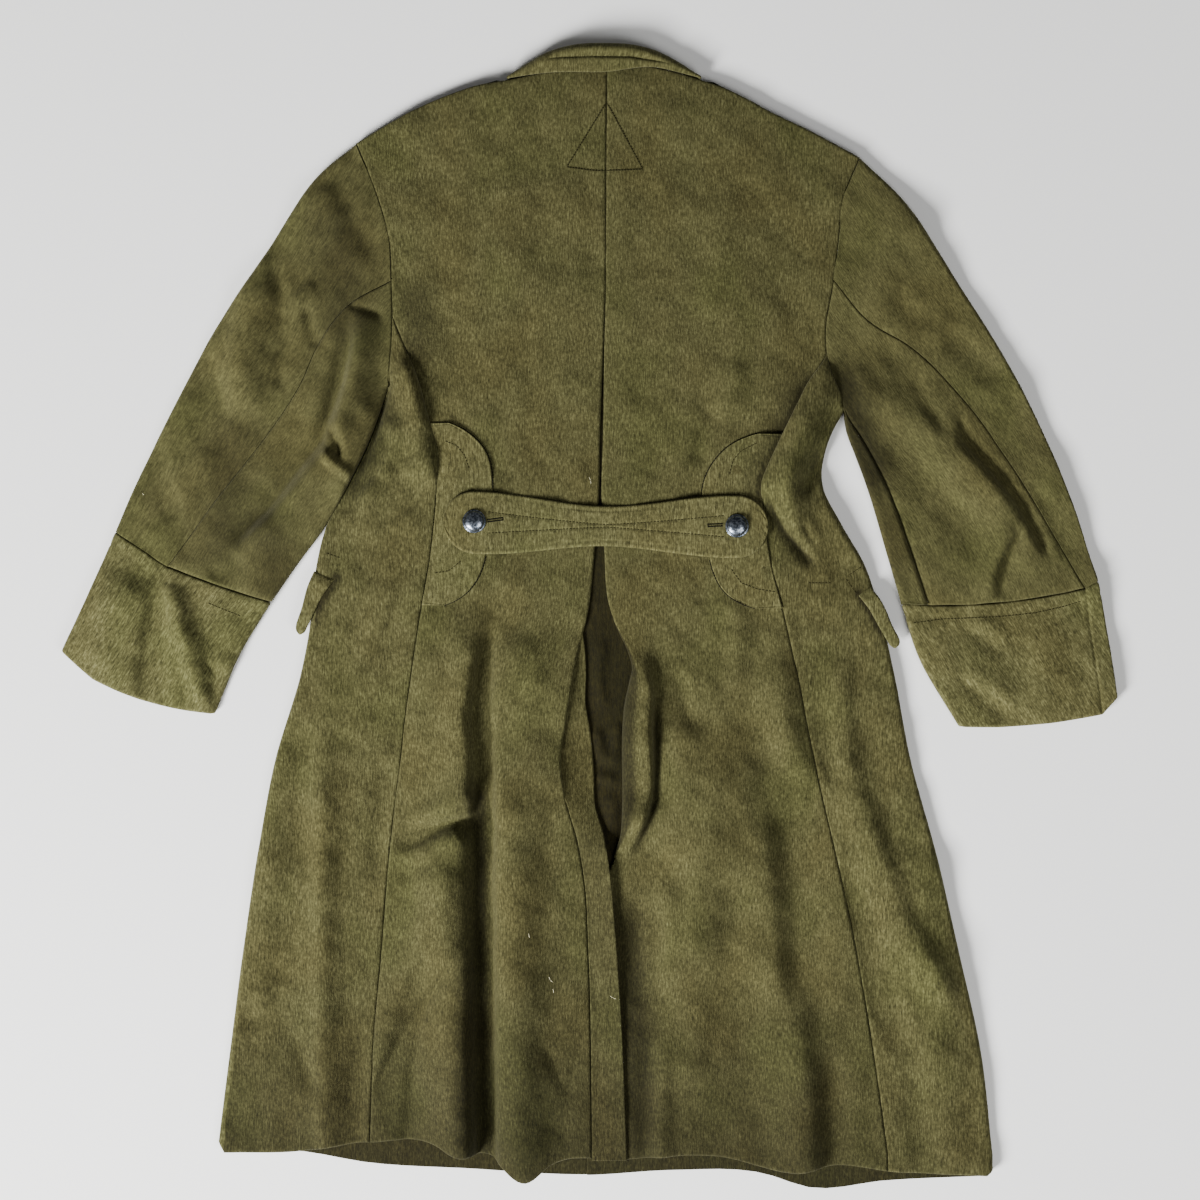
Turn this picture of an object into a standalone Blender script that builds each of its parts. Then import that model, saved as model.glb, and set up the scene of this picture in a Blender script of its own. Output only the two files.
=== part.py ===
"""Military greatcoat of milled wool, laid out flat on the floor with its back upwards.

Metres, +Z up. +Y runs from the hem to the collar, +X to the wearer's right, and the floor is z = 0.
Every piece of cloth is a wall of even thickness on a grid of points: its rows are sections across
the garment and its columns run along the section, over the top, round a folded edge and back below.
"""

import math
from typing import NamedTuple

import bmesh
import bpy
import numpy as np

# Cloth and sewing
CLOTH = 0.0026
SEAM_GAP = 0.0003
LAYER = CLOTH + SEAM_GAP
FLOOR_LAYER = CLOTH / 2
PATCH_CLOTH = 0.0016
BELT_CLOTH = 0.0044
FLAP_CLOTH = 0.0034

# The root's place, which puts the origin under the middle of the coat
ROOT_PLACE = (0.0010, -0.00015, 0.0)

# How high the middle of the top layer lies
SIDE_HEIGHT = 0.0080
CENTRE_HEIGHT = 0.0105
INLAY_HEIGHT = FLOOR_LAYER + 2 * LAYER
LEAST_HEIGHT = FLOOR_LAYER + LAYER + SEAM_GAP
FACING_TUCKED = INLAY_HEIGHT + LAYER
FACING_ON_TOP = CENTRE_HEIGHT + LAYER

# The zone of thicker layers down the middle of the back, and the level zone round the half belt
CENTRE_X = 0.012
CENTRE_REACH = 0.135
WAIST_Y = 0.100
WAIST_REACH = (0.200, 0.105)
ZONE_FADE = 0.080

# Front edges, which lap under the coat
LEFT_FRONT_EDGE = 0.080
RIGHT_FRONT_EDGE = -0.004
LAP_RAMP = (0.150, 0.210)
LAP_TOP = (0.470, 0.515)
LAP_CLEAR = (-0.030, 0.005)
COLLAR_RAMP = (0.410, 0.450)
FRONT_NECK = (0.040, 0.465)
NECK_REACH = 0.090
FORK_CUT = 0.35

# Rows and columns of the grids
SEAM_ROWS = 22
FORK_ROWS = 3
HEM_ROWS = 6
ARM_SHARES = np.array([0.0, 0.17, 0.34, 0.51, 0.68, 0.83, 0.94, 1.0])
SLEEVE_ROWS = 13
CUFF_ROWS = 4
BACK_COLUMNS = 9
STRIP_COLUMNS = 4
LOWER_COLUMNS = 6
LOWER_ARM_SHARES = np.array([0.0, 0.3, 0.6, 0.8, 1.0])
BEND_POINTS = 4
SHOULDER_ROLL = 0.016
SHOULDER_CLEAR = 0.0012

# The largest share of a layer that a fold's turn takes, and how fast a fitted line fades into its panel
TURN_SHARE = 0.6
HEM_FADE = 2
TOP_FADE = 1.5
START_FADE = 3


class Level(NamedTuple):
    """A level of the skirt and waist, with the folded edges and the side-back seams at it."""

    y: float
    left_edge: float
    left_seam: float
    right_seam: float
    right_edge: float


class Place(NamedTuple):
    """A point of a line seen from above."""

    x: float
    y: float


class Station(NamedTuple):
    """A section across a sleeve: both folded edges, the hind seam, and how far the section bows."""

    outer: Place
    hind: Place
    inner: Place
    bow: float


class Patch(NamedTuple):
    """A half-round patch: its upper and lower end on the seam, and how far in it reaches."""

    high: float
    low: float
    depth: float


class Fold(NamedTuple):
    """A soft ridge, or a trough where the rise is negative, along a straight line."""

    start: Place
    end: Place
    rise: float
    spread: float


LEVELS = [
    Level(-0.540, -0.374, -0.222, 0.297, 0.402),
    Level(-0.440, -0.362, -0.218, 0.283, 0.391),
    Level(-0.340, -0.349, -0.210, 0.266, 0.369),
    Level(-0.240, -0.334, -0.202, 0.245, 0.346),
    Level(-0.140, -0.315, -0.190, 0.222, 0.319),
    Level(-0.060, -0.291, -0.180, 0.206, 0.304),
    Level(0.000, -0.280, -0.171, 0.193, 0.290),
    Level(0.050, -0.275, -0.162, 0.180, 0.274),
    Level(0.090, -0.263, -0.157, 0.174, 0.251),
    Level(0.130, -0.240, -0.154, 0.172, 0.232),
    Level(0.165, -0.222, -0.154, 0.186, 0.235),
    Level(0.200, -0.209, -0.164, 0.203, 0.249),
    Level(0.230, -0.203, -0.172, 0.217, 0.262),
    Level(0.262, -0.203, -0.184, 0.236, 0.268),
    Level(0.299, -0.203, -0.199, 0.240, 0.270),
]

# Armholes from the shoulder to the armpit. The side-back seam meets the fork.
LEFT_ARMHOLE = [
    Place(-0.235, 0.472),
    Place(-0.216, 0.423),
    Place(-0.203, 0.378),
    Place(-0.200, 0.335),
    Place(-0.199, 0.299),
    Place(-0.203, 0.230),
]
RIGHT_ARMHOLE = [
    Place(0.269, 0.458),
    Place(0.253, 0.418),
    Place(0.248, 0.375),
    Place(0.243, 0.335),
    Place(0.235, 0.281),
    Place(0.236, 0.262),
    Place(0.255, 0.208),
]
LEFT_FORK = 0.299
RIGHT_FORK = 0.262

# Shoulder and neck of the back, from the shoulder's tip to the centre seam
LEFT_TOP = [
    Place(-0.235, 0.472),
    Place(-0.198, 0.495),
    Place(-0.158, 0.515),
    Place(-0.111, 0.531),
    Place(-0.086, 0.5355),
    Place(-0.051, 0.543),
    Place(0.016, 0.551),
]
RIGHT_TOP = [
    Place(0.016, 0.551),
    Place(0.049, 0.551),
    Place(0.081, 0.545),
    Place(0.112, 0.5355),
    Place(0.140, 0.525),
    Place(0.178, 0.505),
    Place(0.219, 0.485),
    Place(0.269, 0.458),
]

# Centre edges of the two backs, from the neck to the hem
LEFT_CENTRE = [
    Place(0.0160, 0.553),
    Place(0.0148, 0.400),
    Place(0.0145, 0.325),
    Place(0.0122, 0.265),
    Place(0.0092, 0.185),
    Place(0.0075, 0.115),
    Place(0.0040, 0.068),
    Place(-0.0040, -0.002),
    Place(-0.0140, -0.041),
    Place(-0.0240, -0.101),
    Place(-0.0300, -0.145),
    Place(-0.0250, -0.185),
    Place(-0.0140, -0.225),
    Place(-0.0070, -0.265),
    Place(-0.0030, -0.335),
    Place(0.0010, -0.550),
]
RIGHT_CENTRE = [
    Place(0.0160, 0.553),
    Place(0.0148, 0.400),
    Place(0.0145, 0.325),
    Place(0.0132, 0.265),
    Place(0.0122, 0.185),
    Place(0.0105, 0.115),
    Place(0.0130, 0.068),
    Place(0.0220, -0.002),
    Place(0.0440, -0.041),
    Place(0.0560, -0.066),
    Place(0.0560, -0.111),
    Place(0.0500, -0.205),
    Place(0.0250, -0.242),
    Place(0.0120, -0.270),
    Place(0.0090, -0.335),
    Place(0.0090, -0.560),
]
FACING_RIGHT = [
    Place(-0.001, -0.060),
    Place(-0.001, -0.105),
    Place(0.004, -0.175),
    Place(0.012, -0.215),
    Place(0.021, -0.285),
    Place(0.030, -0.399),
    Place(0.036, -0.545),
]
FACING_ROWS = 18
FACING_TUCK = 0.012
FACING_CLEAR = 0.0006
FACING_EMERGES = (-0.160, -0.190)
FACING_RISES = (-0.195, -0.240)

# Hems: of the backs and side strips on top, and of the fronts below
TOP_HEM = [
    Place(-0.374, -0.538),
    Place(-0.296, -0.537),
    Place(-0.222, -0.528),
    Place(-0.154, -0.530),
    Place(-0.135, -0.540),
    Place(-0.103, -0.540),
    Place(-0.064, -0.566),
    Place(-0.040, -0.549),
    Place(0.030, -0.545),
    Place(0.124, -0.541),
    Place(0.205, -0.557),
    Place(0.250, -0.551),
    Place(0.298, -0.557),
    Place(0.403, -0.562),
]
FRONT_HEM = [
    Place(-0.374, -0.538),
    Place(-0.296, -0.537),
    Place(-0.223, -0.549),
    Place(-0.122, -0.555),
    Place(-0.004, -0.561),
    Place(0.082, -0.556),
    Place(0.171, -0.559),
    Place(0.219, -0.574),
    Place(0.295, -0.567),
    Place(0.403, -0.562),
]

LEFT_SLEEVE = [
    Station(Place(-0.235, 0.472), Place(-0.200, 0.335), Place(-0.203, 0.230), 0.0),
    Station(Place(-0.278, 0.434), Place(-0.243, 0.310), Place(-0.210, 0.213), 0.0),
    Station(Place(-0.329, 0.357), Place(-0.273, 0.271), Place(-0.222, 0.180), 0.0),
    Station(Place(-0.377, 0.285), Place(-0.294, 0.225), Place(-0.241, 0.138), 0.0),
    Station(Place(-0.417, 0.210), Place(-0.329, 0.174), Place(-0.266, 0.089), 0.001),
    Station(Place(-0.454, 0.135), Place(-0.377, 0.114), Place(-0.293, 0.052), 0.003),
    Station(Place(-0.476, 0.084), Place(-0.422, 0.052), Place(-0.320, 0.013), 0.004),
]
RIGHT_SLEEVE = [
    Station(Place(0.269, 0.458), Place(0.243, 0.335), Place(0.255, 0.208), 0.0),
    Station(Place(0.317, 0.410), Place(0.277, 0.295), Place(0.257, 0.183), 0.0),
    Station(Place(0.366, 0.335), Place(0.326, 0.264), Place(0.265, 0.160), 0.0),
    Station(Place(0.413, 0.260), Place(0.376, 0.212), Place(0.275, 0.132), 0.001),
    Station(Place(0.452, 0.185), Place(0.414, 0.160), Place(0.283, 0.107), 0.003),
    Station(Place(0.483, 0.110), Place(0.449, 0.107), Place(0.292, 0.076), 0.006),
    Station(Place(0.507, 0.034), Place(0.494, 0.029), Place(0.311, 0.011), 0.008),
]
LEFT_CUFF = [
    Station(Place(-0.476, 0.084), Place(-0.422, 0.052), Place(-0.320, 0.013), 0.004),
    Station(Place(-0.504, 0.020), Place(-0.459, -0.002), Place(-0.351, -0.038), 0.008),
    Station(Place(-0.530, -0.036), Place(-0.496, -0.056), Place(-0.377, -0.099), 0.012),
]
RIGHT_CUFF = [
    Station(Place(0.507, 0.034), Place(0.494, 0.029), Place(0.311, 0.011), 0.008),
    Station(Place(0.517, -0.020), Place(0.502, -0.028), Place(0.330, -0.046), 0.012),
    Station(Place(0.528, -0.080), Place(0.512, -0.092), Place(0.369, -0.111), 0.014),
]
# Columns from the inner edge to the front seam: below on the left sleeve, and on top on the right one,
# whose seam has rolled upwards
LEFT_FRONT_COLUMNS = 2
RIGHT_FRONT_COLUMNS = 1

LEFT_BACK_FOLDS = [
    Fold(Place(-0.121, -0.200), Place(-0.103, -0.530), -0.0060, 0.018),
    Fold(Place(-0.152, -0.265), Place(-0.135, -0.530), 0.0100, 0.022),
    Fold(Place(-0.078, -0.200), Place(-0.070, -0.550), 0.0090, 0.024),
    Fold(Place(0.002, 0.020), Place(-0.032, -0.180), 0.0050, 0.034),
    Fold(Place(-0.032, -0.180), Place(-0.020, -0.540), 0.0028, 0.030),
]
RIGHT_BACK_FOLDS = [
    Fold(Place(0.052, -0.050), Place(0.058, -0.200), 0.0080, 0.018),
    Fold(Place(0.105, -0.290), Place(0.098, -0.450), 0.0060, 0.026),
    Fold(Place(0.209, -0.430), Place(0.209, -0.557), 0.0080, 0.034),
    Fold(Place(0.150, -0.080), Place(0.130, -0.230), 0.0050, 0.040),
]
STRIP_FOLDS = [
    Fold(Place(-0.180, 0.240), Place(-0.165, 0.150), 0.0120, 0.020),
    Fold(Place(-0.269, -0.145), Place(-0.263, -0.485), 0.0050, 0.024),
    Fold(Place(0.205, 0.190), Place(0.190, 0.110), 0.0140, 0.022),
    Fold(Place(0.330, -0.260), Place(0.350, -0.480), 0.0050, 0.026),
]
SLEEVE_FOLDS = [
    Fold(Place(-0.243, 0.280), Place(-0.262, 0.180), 0.0110, 0.022),
    Fold(Place(-0.262, 0.180), Place(-0.355, 0.075), 0.0080, 0.024),
    Fold(Place(-0.329, 0.345), Place(-0.348, 0.220), 0.0060, 0.022),
    Fold(Place(-0.290, 0.420), Place(-0.250, 0.380), 0.0060, 0.030),
    Fold(Place(0.339, 0.195), Place(0.439, 0.060), 0.0110, 0.026),
    Fold(Place(0.289, 0.225), Place(0.350, 0.160), 0.0080, 0.026),
    Fold(Place(0.320, 0.385), Place(0.290, 0.340), 0.0060, 0.030),
]

# Collar: where its fall ends on the back and where its roll is highest up, along x
COLLAR_ENDS = (-0.077, 0.104)
COLLAR_ROWS = 12
COLLAR_FALL = [
    Place(-0.086, 0.5360),
    Place(-0.044, 0.5420),
    Place(0.016, 0.5430),
    Place(0.064, 0.5475),
    Place(0.091, 0.5415),
    Place(0.112, 0.5360),
]
COLLAR_ROLL = [
    Place(-0.086, 0.5370),
    Place(-0.065, 0.5510),
    Place(-0.044, 0.5630),
    Place(-0.022, 0.5695),
    Place(0.016, 0.5720),
    Place(0.048, 0.5694),
    Place(0.069, 0.5630),
    Place(0.091, 0.5510),
    Place(0.112, 0.5370),
]
COLLAR_LEAF = 0.500
COLLAR_CROWN = 0.0060
COLLAR_COLUMNS = 4

# Half belt with its buttons, and the half-round patches under its ends
BELT_ENDS = (-0.145, 0.1725)
BELT_MIDDLE_Y = [Place(-0.145, 0.0935), Place(0.015, 0.0890), Place(0.1725, 0.0885)]
BELT_HALF_WIDTH = (0.0202, 0.0315)
BELT_WAIST_REACH = 0.125
BELT_ROWS = 18
BELT_COLUMNS = 4
BELT_STEP = 0.030
BELT_END_SHARE = 0.995
LEFT_PATCH = Patch(0.195, 0.007, 0.056)
RIGHT_PATCH = Patch(0.184, 0.004, 0.057)
PATCH_END_SHARE = 0.97
PATCH_SQUARE = (3.2, 2.2)
PATCH_ROWS = 14
PATCH_COLUMNS = 3
BUTTONS = {"left": Place(-0.1165, 0.0935), "right": Place(0.1457, 0.0890)}
BUTTON_RADIUS = 0.01175
BUTTON_DOME = 0.0048
BUTTON_RIM = 0.0016
BUTTON_SIDES = 28
BUTTON_DOME_POINTS = 5

# Pocket flaps, from the root to the tip
LEFT_FLAP = {
    "outer": [Place(-0.277, 0.045), Place(-0.284, 0.0275), Place(-0.289, 0.006), Place(-0.295, -0.016)],
    "inner": [Place(-0.258, 0.036), Place(-0.269, 0.0200), Place(-0.279, -0.001), Place(-0.289, -0.020)],
}
RIGHT_FLAP = {
    "outer": [Place(0.280, 0.030), Place(0.292, 0.0120), Place(0.301, -0.008), Place(0.307, -0.028)],
    "inner": [Place(0.267, 0.020), Place(0.279, 0.0020), Place(0.290, -0.016), Place(0.299, -0.031)],
}
FLAP_RISE = (0.0034, 0.0034, 0.0032, 0.0015)
FLAP_ROWS = 7

# Inlay of the centre pleat
INLAY = {"left": -0.050, "right": 0.070, "low": -0.270, "high": 0.330}
INLAY_ROWS = 6

WOOL = (0.104, 0.092, 0.031, 1.0)
WOOL_INSIDE = (0.030, 0.025, 0.009, 1.0)
BUTTON_METAL = (0.20, 0.21, 0.22, 1.0)


def curve(knots, values, at):
    """A smooth curve through values at rising knots, read at the given places."""
    knots, values, at = (np.asarray(item, float) for item in (knots, values, at))
    slopes = np.gradient(values, knots)
    first = np.clip(np.searchsorted(knots, at) - 1, 0, len(knots) - 2)
    span = knots[first + 1] - knots[first]
    t = np.clip((at - knots[first]) / span, 0.0, 1.0)
    start = (1 + 2 * t) * (1 - t) ** 2 * values[first] + t * (1 - t) ** 2 * span * slopes[first]
    end = t**2 * (3 - 2 * t) * values[first + 1] - t**2 * (1 - t) * span * slopes[first + 1]
    return start + end


def x_on(line, y):
    """How far across a line lies at a height on the coat."""
    rows = sorted(line, key=lambda place: place.y)
    return curve([place.y for place in rows], [place.x for place in rows], y)


def y_on(line, x):
    """How far up a line lies at a place across the coat."""
    rows = sorted(line, key=lambda place: place.x)
    return curve([place.x for place in rows], [place.y for place in rows], x)


def level_line(field):
    """One column of the levels as a line."""
    return [Place(getattr(level, field), level.y) for level in LEVELS]


def ease(value, low, high):
    """0 at low and 1 at high, with a soft start and end."""
    t = np.clip((np.asarray(value, float) - low) / (high - low), 0.0, 1.0)
    return t * t * (3 - 2 * t)


def fold_rise(x, y, folds):
    """What all the folds add to the height at a point."""
    total = np.zeros(np.shape(x))
    for fold in folds:
        run = np.subtract(fold.end, fold.start)
        along = ((x - fold.start.x) * run[0] + (y - fold.start.y) * run[1]) / (run @ run)
        along = np.clip(along, 0.0, 1.0)
        away = np.hypot(x - fold.start.x - along * run[0], y - fold.start.y - along * run[1])
        total += fold.rise * np.exp(-((away / fold.spread) ** 2))
    return total


def waist_share(x, y):
    """1 in the level zone round the half belt, and 0 well outside it."""
    across = ease(np.abs(x - CENTRE_X), WAIST_REACH[0], WAIST_REACH[0] + ZONE_FADE)
    along = ease(np.abs(y - WAIST_Y), WAIST_REACH[1], WAIST_REACH[1] + ZONE_FADE)
    return (1 - across) * (1 - along)


def lay(x, y):
    """The height of the top layer before any fold: thicker in the middle and at the waist."""
    centre = 1 - ease(np.abs(x - CENTRE_X), CENTRE_REACH, CENTRE_REACH + ZONE_FADE)
    share = 1 - (1 - centre) * (1 - waist_share(x, y))
    return SIDE_HEIGHT + (CENTRE_HEIGHT - SIDE_HEIGHT) * share


def height(x, y, folds, calm=0.0):
    """The height of a top layer clear of the layer under it. calm is the share of its folds pressed out."""
    return np.maximum(lay(x, y) + (1 - calm) * fold_rise(x, y, folds), LEAST_HEIGHT)


def under_collar(y):
    """How far the fronts are lifted by the collar's leaf below them."""
    return LAYER * ease(y, *COLLAR_RAMP)


def stack(xy, z):
    """Points from places seen from above and heights."""
    return np.concatenate([xy, np.broadcast_to(z, xy.shape[:-1])[..., None]], axis=-1)


def between(first, last, shares):
    """Rows of places from the first rail to the last."""
    shares = np.asarray(shares)[None, :, None]
    return first[:, None, :] * (1 - shares) + last[:, None, :] * shares


def panel(outer, inner, shares, hem, top, top_start):
    """A panel between two rails, its first row fitted to the hem and its last to the top line."""
    xy = between(outer, inner, shares)
    row = np.arange(len(xy))[:, None]
    low = np.clip(1 - row / HEM_ROWS, 0, 1) ** HEM_FADE
    high = np.clip((row - top_start) / (len(xy) - 1 - top_start), 0, 1) ** TOP_FADE
    xy[..., 1] += low * (y_on(hem, xy[0, :, 0]) - xy[0, :, 1])
    xy[..., 1] += high * (y_on(top, xy[-1, :, 0]) - xy[-1, :, 1])
    return xy


def bend(top, low, edge, points=BEND_POINTS):
    """Points round a folded edge, from the top layer to the lower one.

    top and low are where the two layers end, and edge is the cloth's outermost place.
    """
    angles = np.linspace(math.pi / 2, -math.pi / 2, points + 2)[1:-1]
    reach = edge - top[:, :2]
    length = np.linalg.norm(reach, axis=1, keepdims=True)
    reach = reach * (length - CLOTH / 2) / length
    xy = top[:, None, :2] + np.cos(angles)[None, :, None] * reach[:, None, :]
    middle, half = (top[:, 2] + low[:, 2]) / 2, (top[:, 2] - low[:, 2]) / 2
    return stack(xy, middle[:, None] + half[:, None] * np.sin(angles)[None, :])


def inset(edge, neighbour, rise):
    """Where a layer stops before a folded edge, so that the fold is round."""
    run = neighbour - edge
    length = np.linalg.norm(run, axis=-1, keepdims=True)
    depth = np.minimum(CLOTH / 2 + rise[..., None] / 2, TURN_SHARE * length)
    return edge + run / length * depth


def pulled_in(grid):
    """The grid with each open edge drawn back by half a seam's gap, seen from above."""
    there = ~np.isnan(grid[..., 0])
    moved = grid.copy()
    for axis in (0, 1):
        for step in (1, -1):
            before = np.roll(there, step, axis)
            np.moveaxis(before, axis, 0)[0 if step == 1 else -1] = False
            rim = there & ~before
            run = (np.roll(grid, -step, axis) - grid)[..., :2]
            length = np.linalg.norm(run, axis=-1, keepdims=True)
            moved[..., :2][rim] += (run / np.maximum(length, 1e-9) * SEAM_GAP / 2)[rim]
    return moved


def wall_sides(grid, across, thickness, ring=False):
    """Both faces of a wall. Its open ends stand upright, so that neighbours never cross."""
    there = ~np.isnan(grid[..., 0])
    ahead, behind = np.roll(grid, -1, 1), np.roll(grid, 1, 1)
    open_ahead, open_behind = ~np.roll(there, -1, 1), ~np.roll(there, 1, 1)
    if not ring:
        open_ahead[:, -1] = open_behind[:, 0] = True
    run = np.where(open_ahead[..., None], grid, ahead) - np.where(open_behind[..., None], grid, behind)
    forward = (run[..., :2] * across).sum(axis=-1)
    rise = np.where(open_ahead | open_behind, 0.0, run[..., 2])
    normal = np.concatenate([-rise[..., None] * across, forward[..., None]], axis=-1)
    normal /= np.linalg.norm(normal, axis=-1, keepdims=True)
    return grid + normal * thickness / 2, grid - normal * thickness / 2


def material(name, colour, roughness, metallic=0.0):
    """A plain finish."""
    made = bpy.data.materials.new(name)
    made.use_nodes = True
    shader = made.node_tree.nodes["Principled BSDF"]
    shader.inputs["Base Color"].default_value = colour
    shader.inputs["Roughness"].default_value = roughness
    shader.inputs["Metallic"].default_value = metallic
    return made


def add_object(name, mesh, finish, root, collection):
    """An object for a finished mesh, in the coat's collection and under its root."""
    piece = bpy.data.objects.new(name, mesh)
    piece.data.materials.append(finish)
    piece.parent = root
    collection.objects.link(piece)
    return piece


def wall_mesh(name, grid, across, thickness=CLOTH, ring=False):
    """A closed wall: a grid in the shape of its outer face, extruded to its inner face."""
    if ring:
        grid = np.concatenate([grid, grid[:, :1]], axis=1)
        run = (grid[1] - grid[0])[:, :2]
        grid[0, :, :2] += run / np.linalg.norm(run, axis=1, keepdims=True) * SEAM_GAP
        sides = wall_sides(grid[:, :-1], across, thickness, ring=True)
        sides = [np.concatenate([side, side[:, :1]], axis=1) for side in sides]
    else:
        sides = wall_sides(pulled_in(grid), across, thickness)
    outer, inner = (side.reshape(-1, 3) for side in sides)
    rows, columns = grid.shape[:2]
    shape = bmesh.new()
    bmesh.ops.create_grid(shape, x_segments=columns - 1, y_segments=rows - 1, size=1.0)
    place = shape.verts.layers.int.new("place")
    shape.verts.ensure_lookup_table()
    for index, vertex in enumerate(shape.verts):
        vertex[place] = index
        vertex.co = np.nan_to_num(outer[index])
    missing = [vertex for vertex in shape.verts if np.isnan(outer[vertex[place], 0])]
    bmesh.ops.delete(shape, geom=missing, context="VERTS")
    if ring:
        bmesh.ops.remove_doubles(shape, verts=shape.verts[:], dist=1e-7)
    extruded = bmesh.ops.extrude_face_region(shape, geom=shape.faces[:])
    for item in extruded["geom"]:
        if isinstance(item, bmesh.types.BMVert):
            item.co = inner[item[place]]
    bmesh.ops.recalc_face_normals(shape, faces=shape.faces[:])
    mesh = bpy.data.meshes.new(name)
    shape.to_mesh(mesh)
    shape.free()
    return mesh


class Side(NamedTuple):
    """The lines of one half of the coat."""

    out: int
    edge: list
    seam: list
    armhole: list
    fork: float
    top: list
    centre: list
    front_edge: float
    folds: list


LEFT = Side(
    -1,
    level_line("left_edge"),
    level_line("left_seam"),
    LEFT_ARMHOLE,
    LEFT_FORK,
    LEFT_TOP,
    LEFT_CENTRE,
    LEFT_FRONT_EDGE,
    LEFT_BACK_FOLDS,
)
RIGHT = Side(
    1,
    level_line("right_edge"),
    level_line("right_seam"),
    RIGHT_ARMHOLE,
    RIGHT_FORK,
    RIGHT_TOP,
    RIGHT_CENTRE,
    RIGHT_FRONT_EDGE,
    RIGHT_BACK_FOLDS,
)


def seam_rail(side):
    """The side-back seam from the hem, past the level of the armpit, to its fork with the armhole."""
    low, armpit = float(y_on(TOP_HEM, side.seam[0].x)), side.armhole[-1].y
    to_armpit = np.linspace(low, armpit, SEAM_ROWS + 1)
    y = np.concatenate([to_armpit, np.linspace(armpit, side.fork, FORK_ROWS + 1)[1:]])
    rail = np.column_stack([x_on(side.seam, y), y])
    rail[-1, 0] = x_on(side.armhole, side.fork)
    return rail


def armhole_rail(side, shares):
    """The armhole from the fork up to the shoulder's tip."""
    y = side.fork + (side.armhole[0].y - side.fork) * shares
    return np.column_stack([x_on(side.armhole, y), y])


def underarm_rail(side):
    """The armhole from the armpit up to the fork, a row for each row of the seam there."""
    y = np.linspace(side.armhole[-1].y, side.fork, FORK_ROWS + 1)
    return np.column_stack([x_on(side.armhole, y), y])


def back_grid(side):
    """A back from the side seam and armhole to the centre, its shoulder rolled down to the front."""
    seam, arm = seam_rail(side), armhole_rail(side, ARM_SHARES)
    outer = np.vstack([seam, arm[1:]])
    neck = max(place.y for place in side.top)
    inner_y = np.concatenate([seam[:, 1], side.fork + (neck - side.fork) * ARM_SHARES[1:]])
    inner = np.column_stack([x_on(side.centre, inner_y), inner_y])
    xy = panel(outer, inner, np.linspace(0, 1, BACK_COLUMNS), TOP_HEM, side.top, len(seam) - 1)
    x, y = xy[..., 0], xy[..., 1]
    z = height(x, y, side.folds, waist_share(x, y))
    from_top = np.clip(1 - (y[-1] - y) / SHOULDER_ROLL, 0, 1)
    seat = FLOOR_LAYER + LAYER + SHOULDER_CLEAR + under_collar(y)
    z = np.maximum(z - (z - seat) * (1 - np.sqrt(1 - from_top**2)), seat)
    return stack(xy, z)


def front_grid(side):
    """A front from the side seam, over the folded edge and along the floor to the front edge."""
    seam, underarm = seam_rail(side), underarm_rail(side)
    y = seam[: SEAM_ROWS + 1, 1]
    edge = np.column_stack([x_on(side.edge, y), y])
    edge[-1] = underarm[0]
    turn = inset(edge, seam[: len(edge)], height(edge[:, 0], y, STRIP_FOLDS) - FLOOR_LAYER)
    strip_end = np.vstack([turn, underarm[1:]])
    strip_end[-1] += (seam[-2] - seam[-1]) * FORK_CUT - (strip_end[-1] - strip_end[-2]) * FORK_CUT
    strip = between(seam, strip_end, np.linspace(0, 1, STRIP_COLUMNS + 1))
    hem_fade = np.clip(1 - np.arange(len(seam)) / HEM_ROWS, 0, 1)[:, None] ** HEM_FADE
    strip[..., 1] += hem_fade * (y_on(TOP_HEM, strip[0, :, 0]) - strip[0, :, 1])
    strip = stack(strip, height(strip[..., 0], strip[..., 1], STRIP_FOLDS))

    arm = armhole_rail(side, LOWER_ARM_SHARES)
    rail = np.vstack([turn, underarm[1:], arm[1:]])
    inner_y = np.linspace(seam[-1, 1], FRONT_NECK[1], len(arm))
    inner_y = np.concatenate([seam[:, 1], inner_y[1:]])
    inner = np.column_stack([np.full(len(inner_y), side.front_edge), inner_y])
    shoulder = [place for place in side.top if abs(place.x - CENTRE_X) > NECK_REACH]
    neck = [Place(CENTRE_X + side.out * FRONT_NECK[0], FRONT_NECK[1]), Place(side.front_edge, FRONT_NECK[1])]
    shares = np.linspace(0, 1, LOWER_COLUMNS + 1)
    xy = panel(rail, inner, shares, FRONT_HEM, shoulder + neck, len(seam) - 1)
    lower = stack(xy, FLOOR_LAYER + front_lift(side, xy[..., 0], xy[..., 1]))
    turned = bend(strip[: len(edge), -1], lower[: len(edge), 0], edge)
    rows = len(lower)
    return np.concatenate([filled_out(strip, rows), filled_out(turned, rows), lower], axis=1)


def front_lift(side, x, y):
    """How far a front is lifted off the floor: by the collar's leaf, and the right one by the left one."""
    if side is LEFT:
        return under_collar(y) * (1 - ease(x, *LAP_CLEAR))
    lap = LAYER * (1 - ease(x, *LAP_RAMP)) * (1 - ease(y, *LAP_TOP))
    return under_collar(y) + lap


def filled_out(grid, rows):
    """The grid with empty rows added at its end."""
    nothing = np.full((rows - len(grid), *grid.shape[1:]), np.nan)
    return np.concatenate([grid, nothing])


def rails(stations, rows):
    """Outer, hind and inner rails of a sleeve or cuff, and the bow at each row."""
    at = np.linspace(0, len(stations) - 1, rows + 1)
    knots = np.arange(len(stations))
    lines = []
    for name in ("outer", "hind", "inner"):
        places = np.array([getattr(station, name) for station in stations])
        lines.append(np.column_stack([curve(knots, places[:, i], at) for i in (0, 1)]))
    return lines, curve(knots, [station.bow for station in stations], at)


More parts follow.
